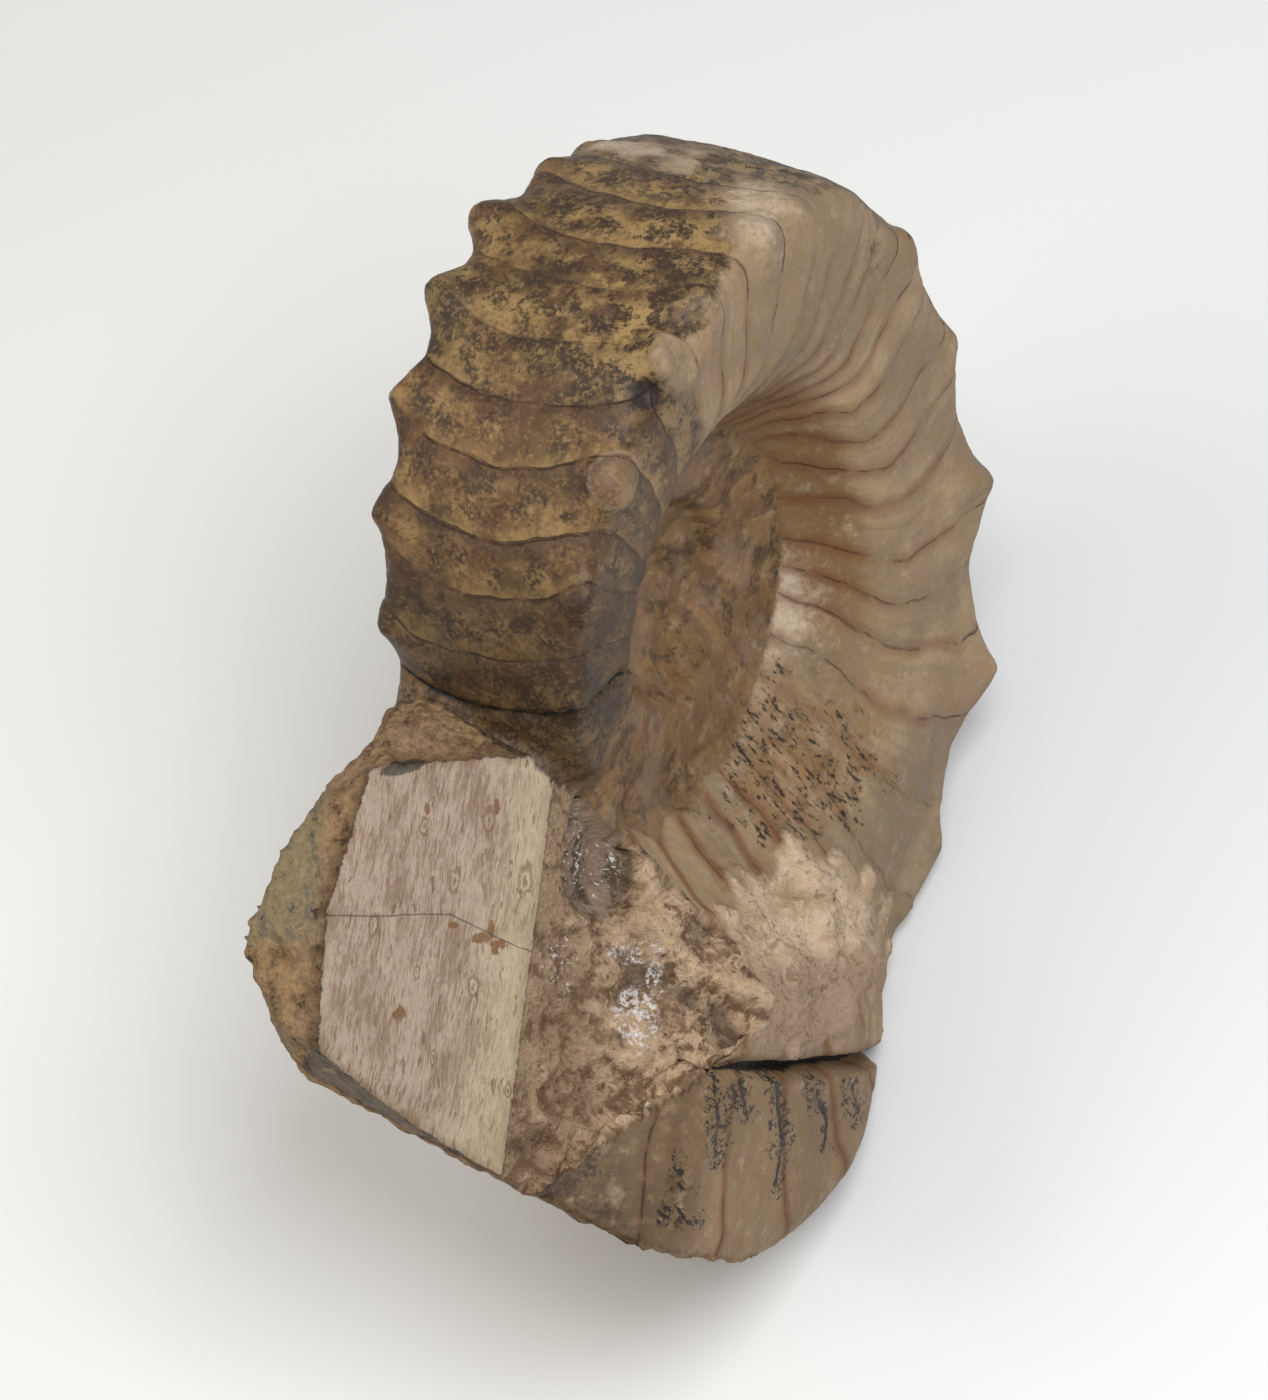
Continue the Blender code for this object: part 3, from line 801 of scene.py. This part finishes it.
phase, side, spacing = attribute("coil")
mm_x, mm_y, mm_z = attribute("broken")
face_around, bevel_zone, chip_zone = attribute("zones")
crust_zone, warm_zone, pale_zone = attribute("cover")
fern_zone, shade_zone, ochre_zone = attribute("marks")
worn_zone, inner_zone, freckle_zone = attribute("wear")
frond_gap, frond_zone, stain_zone = attribute("fronds")
foot_zone, crack_here = attribute("cracks", 2)
relief_shading_zone, high_ring, low_ring = attribute("forms")
cloud = speckle(0.10, 3.0, 0.55)
drift = speckle(0.24, 4.0, 0.6, 31.0)
mottle = speckle(0.55, 6.0, 0.68, 11.0)
blot = speckle(0.42, 6.0, 0.66, 47.0)
speck = speckle(1.7, 5.0, 0.65, 5.0)
fleck = speckle(2.6, 4.0, 0.6, 17.0)
pit = speckle(7.0, 3.0, 0.6, 3.0)
face_way = Vector(FLAT_FACE[1]).normalized()
from_face = mm_x * face_way.x + mm_y * face_way.y + mm_z * face_way.z - face_way.dot(Vector(FLAT_FACE[0]))
right_rim = past_flat(mm_x, mm_y)
face_zone = between(abs(from_face) + 0.5 * (speck - 0.5), 0.42, 0.26)
face_zone = face_zone * between(right_rim + 0.8 * (mottle - 0.5), -5.3, FLAT_RIGHT) * face_around
# Share of the way through a chamber, mm from its nearer edge, and a number from 0 to 1 for each chamber
part_way = phase.math("FRACT")
edge = part_way.math("MINIMUM", 1.0 - part_way) * spacing
tint = Wire.node("ShaderNodeTexWhiteNoise", {"noise_dimensions": "1D"}, {"W": phase.math("FLOOR")})

# Skin: grey-tan stone, warm in the hollow, under a brown crust that is freckled with ochre on top
SKIN_GREY = tone(130, 111, 85)
SKIN_TAN = tone(160, 135, 104)
SKIN_PINK = tone(144, 116, 92)
SKIN_WARM = tone(116, 86, 50)
SKIN_PALE = tone(190, 170, 148)
CRUST_BROWN = tone(98, 71, 41)
CRUST_OLIVE = tone(80, 62, 32)
CRUST_TAN = tone(138, 110, 70)
CRUST_DARK = tone(44, 29, 19)
CRUST_RED = tone(70, 42, 26)
CRUST_OCHRE = tone(152, 126, 80)
EDGE_RUST = tone(112, 72, 40)
STAIN_OCHRE = tone(140, 106, 68)
NODE_PINK = tone(134, 103, 80)
FERN_BLACK = tone(27, 24, 22)
skin = stained(SKIN_GREY, SKIN_TAN, between(cloud, 0.36, 0.62))
skin = stained(skin, SKIN_PINK, 0.6 * between(drift, 0.42, 0.62))
streaks = speckle(1.0, 4.0, 0.6, where=joined(phase * 7.0, side * 1.3, 0.0))
skin = stained(skin, SKIN_GREY, 0.6 * between(streaks, 0.48, 0.64))
skin = stained(skin, CRUST_TAN, 0.5 * between(mottle + 0.3 * (speck - 0.5), 0.50, 0.66))
skin = stained(skin, SKIN_PALE, 0.22 * between(mottle - 0.2 * (speck - 0.5), 0.46, 0.30))
skin = stained(skin, SKIN_WARM, 0.92 * warm_zone * between(mottle, 0.22, 0.52))
# Pale crust, and the painted highlight on the arch's right shoulder
pale_cover = between(pale_zone + 1.5 * (mottle - 0.5) + 0.5 * (speck - 0.5), 0.30, 0.95)
skin = stained(skin, SKIN_PALE, 0.85 * pale_cover)
coat = stained(CRUST_BROWN, CRUST_OLIVE, between(cloud, 0.40, 0.60))
coat = stained(coat, CRUST_TAN, 0.9 * between(drift + 0.6 * (mottle - 0.5), 0.47, 0.66))
coat = stained(coat, CRUST_OCHRE, 0.85 * freckle_zone * between(mottle + 0.5 * (drift - 0.5), 0.40, 0.54))
coat = stained(coat, CRUST_RED, 0.75 * between(drift - 0.5 * (mottle - 0.5), 0.50, 0.36))
dark_blots = between(blot + 0.45 * (speck - 0.5) + 0.4 * (cloud - 0.5), 0.46, 0.61)
coat = stained(coat, CRUST_DARK, 0.82 * dark_blots)
coat = stained(coat, CRUST_DARK, 0.88 * freckle_zone * between(blot + 0.7 * (speck - 0.5), 0.48, 0.55))
coat = stained(coat, CRUST_TAN, 0.45 * between(fleck + 0.5 * (drift - 0.5), 0.54, 0.62))
coat = stained(coat, CRUST_DARK, 0.65 * between(fleck - 0.7 * (blot - 0.5), 0.44, 0.38))
crusted = between(crust_zone + 0.8 * (mottle - 0.5) + 0.35 * (speck - 0.5), 0.34, 0.62)
skin = stained(skin, coat, 0.95 * crusted)
lower_half = between(part_way, 0.55, 0.45)
upper_half = 1.0 - lower_half
uneven = between(drift + 0.4 * (tint - 0.5), 0.34, 0.62)
band = between(edge + 2.4 * (mottle - 0.5), 2.8, 0.1) * upper_half * crust_zone
skin = stained(skin, CRUST_RED, 0.70 * band * uneven)
skin = stained(skin, CRUST_DARK, 0.45 * band * between(uneven, 0.4, 1.0))
lower_band = between(edge + 1.8 * (mottle - 0.5), 1.7, 0.2) * lower_half * crust_zone
skin = stained(skin, CRUST_TAN, 0.60 * lower_band * uneven)
skin = stained(skin, EDGE_RUST, 0.65 * between(edge, 1.0, 0.1) * warm_zone * (1.0 - inner_zone))
flank = between(abs(side), 1.25, 1.5)
flank_band = flank * (1.0 - crusted) * between(cloud, 0.36, 0.54)
skin = stained(skin, EDGE_RUST, 0.50 * between(edge + 0.9 * (mottle - 0.5), 1.2, 0.1) * flank_band)
line = between(edge + 0.30 * (mottle - 0.5), 0.19, 0.07) * between(drift + 0.12 * crust_zone, 0.38, 0.52)
line = line * (1.0 - 0.9 * inner_zone) * (1.0 - 0.75 * worn_zone)
line = line * (1.0 - 0.85 * freckle_zone * between(tint, 0.62, 0.50))
line = line * (0.40 + 0.60 * between(tint, 0.15, 0.65))
line = line * (0.35 + 0.65 * between(drift + 0.7 * (mottle - 0.5), 0.40, 0.56))
skin = stained(skin, CRUST_DARK, 0.88 * line * (1.0 - 0.45 * flank))
hollow_blots = between(blot + 0.4 * (speck - 0.5) + 0.5 * (cloud - 0.5), 0.48, 0.62) * inner_zone
skin = stained(skin, CRUST_DARK, 0.60 * hollow_blots)
skin = stained(skin, SKIN_PINK, 0.55 * inner_zone * between(cloud + 0.5 * (mottle - 0.5), 0.50, 0.62))
ochre = between(ochre_zone + 1.6 * (drift - 0.5), 0.42, 0.8) * between(mottle, 0.36, 0.56)
skin = stained(skin, STAIN_OCHRE, 0.55 * ochre)
ochre_blots = between(ochre_zone + 1.2 * (blot - 0.5), 0.5, 0.8) * between(blot, 0.50, 0.60)
skin = stained(skin, CRUST_BROWN, 0.5 * ochre_blots)
needles = speckle(1.0, 5.0, 0.7, where=joined((mm_x + mm_y) * 1.9, (mm_y - mm_x) * 0.65, mm_z * 0.8))
fern = between(needles + 0.25 * (blot - 0.5), 0.54, 0.60)
fern = fern * between(fern_zone + 1.5 * (drift - 0.5) + 0.9 * (mottle - 0.5), 0.50, 0.68)
skin = stained(skin, FERN_BLACK, 0.90 * fern)
low_column = between(mm_y, 3.0, -8.0) * between(mm_z, 10.0, 17.0)
skin = stained(skin, CRUST_DARK, 0.50 * low_column * between(mottle, 0.20, 0.54))
# Worn tips and rings of two of the right nodes
skin = stained(skin, NODE_PINK, 0.50 * between(high_ring + 1.8 * (mottle - 0.5), 2.5, 1.3))
skin = stained(skin, SKIN_PALE, 0.12 * between(abs(high_ring - 2.25 + 0.8 * (mottle - 0.5)), 0.28, 0.08))
skin = stained(skin, CRUST_DARK, 0.55 * between(abs(low_ring - 1.0 + 0.8 * (speck - 0.5)), 0.26, 0.08))

# Black fronds of mineral that grew along the chamber edges of the lower flank
spine = between(frond_gap + 0.9 * (mottle - 0.5), 0.24, 0.08) * between(drift, 0.36, 0.46)
cross_way = joined((mm_x - mm_y) * 2.3, (mm_y + mm_x) * 0.75, mm_z * 0.8 + 9.0)
other_needles = speckle(1.0, 5.0, 0.7, where=cross_way)
plumes = between(needles, 0.52, 0.57).math("MAXIMUM", between(other_needles, 0.54, 0.59))
reach = between(frond_gap + 4.4 * (drift - 0.5) + 3.2 * (mottle - 0.5), 1.1, 0.6)
frond = (plumes * reach).math("MAXIMUM", spine) * between(frond_zone, 0.3, 0.7)
loose_plumes = between(needles + 0.3 * (speck - 0.5), 0.53, 0.59)
frond = frond.math("MAXIMUM", loose_plumes * between(stain_zone + 1.1 * (mottle - 0.5), 0.38, 0.6))
skin = stained(skin, EDGE_RUST, 0.55 * between(edge + 0.9 * (mottle - 0.5), 1.0, 0.1) * frond_zone)
skin = stained(skin, FERN_BLACK, 0.94 * frond)
skin = shaded(skin, tint * 0.18 + 0.88, tint * 0.16 + 0.88, tint * 0.13 + 0.88)

# Flat break: fibrous stone cut along its grain, with knots, rust and a hair crack
FIBRE_PALE = tone(153, 134, 115)
FIBRE_PINK = tone(119, 95, 73)
FIBRE_BROWN = tone(94, 69, 44)
FIBRE_CREAM = tone(170, 153, 122)
KNOT_BROWN = tone(100, 70, 40)
RUST_BROWN = tone(104, 66, 24)
# The fibres lean a little, so this is how far across them a place lies
FIBRE_LEAN = 0.13
grain_x = mm_x - FIBRE_LEAN * mm_y + 0.9 * (drift - 0.5)
fibres = speckle(1.0, 6.0, 0.72, where=joined(grain_x * 3.0, mm_y * 0.42, mm_z * 0.2))
threads = speckle(1.0, 3.0, 0.6, where=joined(grain_x * 5.6 + 9.0, mm_y * 0.60, mm_z * 0.2))
wide = speckle(1.0, 3.0, 0.6, where=joined(grain_x * 0.35 + 4.0, mm_y * 0.16, 0.0))
pale_fibres = between(0.6 * fibres + 0.4 * threads + 0.35 * (wide - 0.5), 0.40, 0.56)
flat = stained(FIBRE_PINK, FIBRE_PALE, pale_fibres)
flat = stained(flat, FIBRE_CREAM, 0.55 * between(right_rim + 9.0 * (fibres - 0.5), -12.5, -7.5))
brown_fibres = between(threads + 0.5 * (fibres - 0.5) - 0.4 * (wide - 0.5), 0.56, 0.70)
flat = stained(flat, FIBRE_BROWN, 0.62 * brown_fibres)
dashes = speckle(1.0, 3.0, 0.55, where=joined(grain_x * 2.4 + 40.0, mm_y * 0.55, mm_z * 0.2))
flat = stained(flat, FIBRE_BROWN, 0.75 * between(dashes, 0.63, 0.68))
# A brown band along the flat's right rim: painted shade where the edge rolls away
flat = stained(flat, FIBRE_BROWN, 0.45 * between(right_rim + 0.5 * (speck - 0.5), -6.4, -5.7))
# Knots as (across, up, size), drawn out along the fibres
for knot_x, knot_y, size in (
    (-16.4, -21.7, 0.55), (-11.2, -21.3, 0.8), (-14.0, -26.2, 0.75), (-20.4, -29.7, 0.7), (-8.3, -26.2, 0.9),
    (-12.4, -34.7, 0.7), (-18.4, -37.0, 0.5), (-17.0, -33.6, 0.4), (-15.6, -40.5, 0.5), (-9.6, -43.2, 0.5),
):
    across_grain = (grain_x - (knot_x - FIBRE_LEAN * knot_y)) * (1.0 / (0.55 * size))
    gap = away(across_grain, (mm_y - knot_y) * (0.8 / size)) + 1.5 * (speck - 0.5) + 0.8 * (threads - 0.5)
    flat = stained(flat, FIBRE_CREAM, 0.25 * between(gap, 1.1, 0.5))
    flat = stained(flat, KNOT_BROWN, 0.65 * between(abs(gap - 0.95), 0.38, 0.08))
    flat = stained(flat, KNOT_BROWN, 0.7 * between(gap, 0.45, 0.2))


def off_middle(x0, y0, half_x, half_y):
    """How far a place is from the middle of an oval over the break, 1 on its edge."""
    return away((mm_x - x0) * (1.0 / half_x), (mm_y - y0) * (1.0 / half_y))


# Rust spots as ovals
rust = None
for spot in (
    (-14.1, -29.8, 0.45, 0.3), (-11.9, -30.9, 0.85, 0.45), (-10.4, -31.4, 0.75, 0.4),
    (-11.0, -30.2, 0.3, 0.9), (-10.7, -31.9, 0.35, 0.4), (-18.4, -36.9, 0.55, 0.6),
    (-10.6, -20.2, 0.25, 0.7), (-16.2, -20.4, 0.22, 0.6),
):
    blob = between(off_middle(*spot) + 1.8 * (speck - 0.5), 1.05, 0.70)
    rust = blob if rust is None else rust.math("MAXIMUM", blob)
flat = stained(flat, RUST_BROWN, 0.9 * rust)
hair = mm_y + 28.95 + 0.47 * (mm_x + 14.4).math("MAXIMUM", 0.0) + 0.5 * (drift - 0.5) + 0.25 * (speck - 0.5)
flat = stained(flat, CRUST_DARK, 0.7 * between(abs(hair), 0.10, 0.03))

# Rough bevels round the flat: yellowish and brown rock, olive and grey at the far left
ROCK_YELLOW = tone(150, 122, 86)
ROCK_BROWN = tone(92, 68, 44)
ROCK_OLIVE = tone(134, 117, 88)
ROCK_BLUE = tone(92, 92, 86)
brown_rock = between(mottle + 0.6 * (speck - 0.5) + 0.3 * (drift - 0.5), 0.38, 0.64)
bevel = stained(ROCK_YELLOW, ROCK_BROWN, 0.85 * brown_rock)
bevel = stained(bevel, SKIN_PINK, 0.5 * between(drift, 0.46, 0.60))
bevel = stained(bevel, ROCK_BROWN, 0.75 * between(from_face + 1.6 * (mottle - 0.5), -1.5, -0.2))
far_left = between(mm_x + 2.0 * (mottle - 0.5), -24.2, -25.4) * between(mm_y, -32.5, -29.5)
streak_way = joined((mm_x + 0.45 * mm_y) * 1.2, (mm_y - 0.45 * mm_x) * 0.4, mm_z * 0.5)
olive_streaks = speckle(1.0, 4.0, 0.65, where=streak_way)
olive = stained(ROCK_OLIVE, ROCK_BLUE, 0.8 * between(olive_streaks + 0.5 * (mottle - 0.5), 0.52, 0.62))
bevel = stained(bevel, olive, 0.9 * far_left)
ledge_brown = between(mm_y, -17.8, -15.2) * between(speck + 0.02 * mm_x, 0.10, 0.36)
bevel = stained(bevel, ROCK_BROWN, 0.75 * ledge_brown)
bevel = stained(bevel, CRUST_DARK, 0.8 * between(mottle + 0.6 * (fleck - 0.5), 0.60, 0.68))
# A dark slanting mark on the ledge, just above the flat
mark_x, mark_y = mm_x + 18.2, mm_y + 17.0
dark_mark = away(mark_x * 0.50 + mark_y * 0.12, mark_y * 1.70 - mark_x * 0.42)

# Chip: pitted brown rock with white crystals, a dark vug and a striped hollow, with painted shade in its
# hollows, under its rim and in a pit, and painted light on its ridges
CHIP_TAN = tone(188, 160, 130)
CHIP_BROWN = tone(112, 85, 61)
CHIP_WHITE = tone(214, 206, 200)
CHIP_GREY = tone(80, 65, 52)
VUG_BROWN = tone(136, 116, 98)
STRIPE_RED = tone(142, 106, 82)


def oval(x0, y0, half_x, half_y):
    """1 in the middle of an oval over the break, 0 outside it, with a ragged edge."""
    return between(off_middle(x0, y0, half_x, half_y) + 0.9 * (mottle - 0.5), 1.1, 0.8)


chip = stained(CHIP_TAN, CHIP_BROWN, between(mottle + 0.6 * (speck - 0.5) + 0.4 * (drift - 0.5), 0.42, 0.60))
chip = stained(chip, SKIN_PINK, 0.5 * between(drift, 0.5, 0.66))
chip = stained(chip, CHIP_BROWN, 0.55 * between(mm_x + 2.0 * (drift - 0.5), 0.5, -4.5))
striped = oval(5.4, -25.2, 4.9, 3.9)
stripes = speckle(1.0, 5.0, 0.65, where=joined((mm_x + 0.75 * mm_y) * 0.22, (mm_y - 0.75 * mm_x) * 1.7, 0.0))
striped_rock = stained(CHIP_TAN, STRIPE_RED, 0.7 * between(stripes, 0.46, 0.64))
chip = stained(chip, striped_rock, striped)
# Painted light on the chip's ridges and painted shade in its hollows
chip = stained(chip, CHIP_TAN, 0.8 * between(relief_shading_zone + 0.4 * (speck - 0.5), -0.10, -0.60))
chip = stained(chip, CHIP_GREY, 0.7 * between(relief_shading_zone + 0.5 * (speck - 0.5), 0.25, 0.80))
vug_rock = stained(VUG_BROWN, CHIP_GREY, between(mottle + 0.5 * (speck - 0.5), 0.46, 0.60))
chip = stained(chip, vug_rock, 0.9 * oval(-2.2, -24.2, 2.4, 5.8))
# Painted shadow under the rim, and painted shade in the pit below the low ridge
chip = stained(chip, CHIP_GREY, 0.5 * oval(8.3, -29.0, 2.0, 1.7))
chip = stained(chip, CHIP_BROWN, 0.7 * oval(0.2, -36.0, 1.3, 1.1))
white = oval(0.6, -32.3, 2.4, 0.9).math("MAXIMUM", oval(0.8, -37.8, 1.9, 3.0))
white = white.math("MAXIMUM", oval(2.6, -34.6, 0.7, 1.8))
crystals = between(speck + 0.4 * (fleck - 0.5) + 0.3 * (mottle - 0.5), 0.46, 0.60)
chip = stained(chip, CHIP_WHITE, 0.85 * white * crystals)
chip = stained(chip, CHIP_GREY, 0.75 * between(speck + 0.5 * (mottle - 0.5), 0.60, 0.68))
glints = between(fleck + 0.5 * (mottle - 0.5) + 0.4 * (speck - 0.5), 0.60, 0.66)
glinting = oval(-2.2, -23.0, 2.6, 5.0).math("MAXIMUM", oval(-5.6, -33.0, 1.6, 3.0))
chip = stained(chip, CHIP_WHITE, 0.7 * (glints * glinting))

# Worn rock to the right of the chip: pale and rough, pinker towards the crack
WORN_TAN = tone(176, 150, 120)
WORN_PALE = tone(204, 178, 150)
WORN_PINK = tone(158, 130, 108)
worn_rock = stained(WORN_TAN, WORN_PALE, between(drift, 0.40, 0.60))
worn_rock = stained(worn_rock, WORN_PINK, 0.8 * between(mm_y + 3.0 * (mottle - 0.5), -31.5, -36.0))
worn_rock = stained(worn_rock, CHIP_BROWN, 0.6 * between(mottle + 0.6 * (speck - 0.5), 0.54, 0.66))
skin = stained(skin, worn_rock, between(worn_zone + 1.0 * (mottle - 0.5), 0.25, 0.75))

# All zones together, with the fine grain of the stone, the painted shade in its seams and holes, and the
# cracks painted near black as shade inside them
MARK_GREY = tone(56, 48, 40)
SHADE_BROWN = tone(34, 27, 24)
CRACK_BLACK = tone(14, 12, 12)
whole = stained(skin, bevel, bevel_zone)
whole = stained(whole, chip, chip_zone)
whole = stained(whole, flat, face_zone)
marked_ledge = between(dark_mark + 0.7 * (speck - 0.5), 1.1, 0.85) * between(mm_z, 10.0, 12.0)
whole = stained(whole, MARK_GREY, 0.9 * marked_ledge)
rocky = (chip_zone + bevel_zone).math("MINIMUM", 1.0) * (1.0 - face_zone)
grain = 1.0 + (0.36 + 0.54 * rocky) * (speck - 0.5) + (0.34 + 0.66 * rocky) * (fleck - 0.5)
whole = shaded(whole, grain, grain, grain)
shade = between(shade_zone + 1.3 * (mottle - 0.5) + 0.5 * (speck - 0.5), 0.38, 0.80)
whole = stained(whole, SHADE_BROWN, 0.9 * shade)
# Painted shade inside the two open cracks
foot_line = between(abs(phase - float(FOOT_CRACK)) * spacing, 0.26, 0.14) * between(foot_zone, 0.02, 0.2)
side_drop = (mm_x - 4.5).math("MAXIMUM", 0.0).math("MINIMUM", 10.0)
side_wide = 0.10 + 0.36 * between(mm_x, 8.5, 12.0)
side_gap = abs(mm_y + 41.35 + 0.155 * side_drop + 0.5 * (drift - 0.5)) - side_wide
crack_line = foot_line.math("MAXIMUM", between(side_gap, 0.10, -0.05) * between(crack_here, 0.3, 0.7))
whole = stained(whole, CRACK_BLACK, 0.97 * crack_line)

# Fine relief in mm and dullness: dry rock on the breaks, a faint polish on the crust and the flat
skin_height = 0.07 * speck + 0.03 * pit - 0.12 * line + 0.05 * fleck + 0.05 * blot
flat_height = 0.07 * fibres + 0.06 * threads + 0.02 * pit
rock_height = 0.60 * mottle + 0.32 * speck + 0.18 * fleck + 0.06 * pit
broken_zone = (bevel_zone + chip_zone + worn_zone).math("MINIMUM", 1.0) * (1.0 - face_zone)
height = skin_height * (1.0 - face_zone - broken_zone) + flat_height * face_zone + rock_height * broken_zone
gloss = 0.60 - 0.14 * crusted * (1.0 - broken_zone) + 0.16 * (speck - 0.5)
gloss = gloss + 0.16 * broken_zone - 0.12 * face_zone
bump = Wire.node("ShaderNodeBump", sockets={"Strength": 1.0, "Distance": MM, "Height": height})
shader = stone.node_tree.nodes["Principled BSDF"]
shader.inputs["Specular IOR Level"].default_value = 0.30
for name, wire in (("Base Color", whole), ("Roughness", gloss), ("Normal", bump)):
    stone.node_tree.links.new(wire.socket, shader.inputs[name])
fossil.data.materials.clear()
fossil.data.materials.append(stone)
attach(fossil, "root")
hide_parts("nautiloid_fossil")

# Floor: a wide sheet of matt off-white card that the fossil stands on. It is one flat face, level
# with the fossil's worn flat, and nothing is fixed to it.
SHEET_HALF = 3.0
SHEET_WHITE = (0.80, 0.80, 0.79, 1.0)
corners = [(i * SHEET_HALF, j * SHEET_HALF, 0.0) for i, j in ((-1, -1), (1, -1), (1, 1), (-1, 1))]
mesh = bpy.data.meshes.new("floor")
mesh.from_pydata(corners, [], [(0, 1, 2, 3)])
floor = in_scene("floor", mesh)
card = bpy.data.materials.new("pale_sheet")
card.use_nodes = True
card.node_tree.nodes["Principled BSDF"].inputs["Base Color"].default_value = SHEET_WHITE
card.node_tree.nodes["Principled BSDF"].inputs["Roughness"].default_value = 0.9
floor.data.materials.append(card)

# Camera: looks down on the fossil along the way out of the break, with the break's own up as its up.
# Its place is in mm in the break's frame, and the picture is so many mm high at that frame's middle.
CAMERA_PLACE = (0.57, -11.53, 425.0)
PICTURE_HEIGHT = 119.0
camera = in_scene("camera", bpy.data.cameras.new("camera"))
turned = Matrix(BREAK_TO_WORLD.tolist()).transposed().to_4x4()
camera.matrix_world = Matrix.Translation(from_break(CAMERA_PLACE)) @ turned
camera.data.lens = camera.data.sensor_width * CAMERA_PLACE[2] / PICTURE_HEIGHT
camera.data.clip_start = 0.01
bpy.context.scene.camera = camera

# Light: a broad cool window close beside the camera, a warm lamp low at the left, and a dim, even,
# cool sky that fills the shadows. Places are in mm in the break's frame, sizes in metres.
for name, position, size, power, colour in (
    ("window", (60.0, 90.0, 340.0), 0.18, 1.10, (0.95, 0.97, 1.0)),
    ("lamp", (-260.0, 60.0, 190.0), 0.25, 0.40, (1.0, 0.90, 0.72)),
):
    light = in_scene(name, bpy.data.lights.new(name, "AREA"))
    light.data.size = size
    light.data.energy = power
    light.data.color = colour
    light.location = from_break(position)
    light.rotation_euler = (CENTRE - light.location).to_track_quat("-Z", "Y").to_euler()
world = bpy.data.worlds.new("sky")
world.use_nodes = True
world.node_tree.nodes["Background"].inputs["Color"].default_value = (0.95, 0.97, 1.0, 1.0)
world.node_tree.nodes["Background"].inputs["Strength"].default_value = 0.48
bpy.context.scene.world = world
bpy.context.scene.view_settings.view_transform = "Standard"
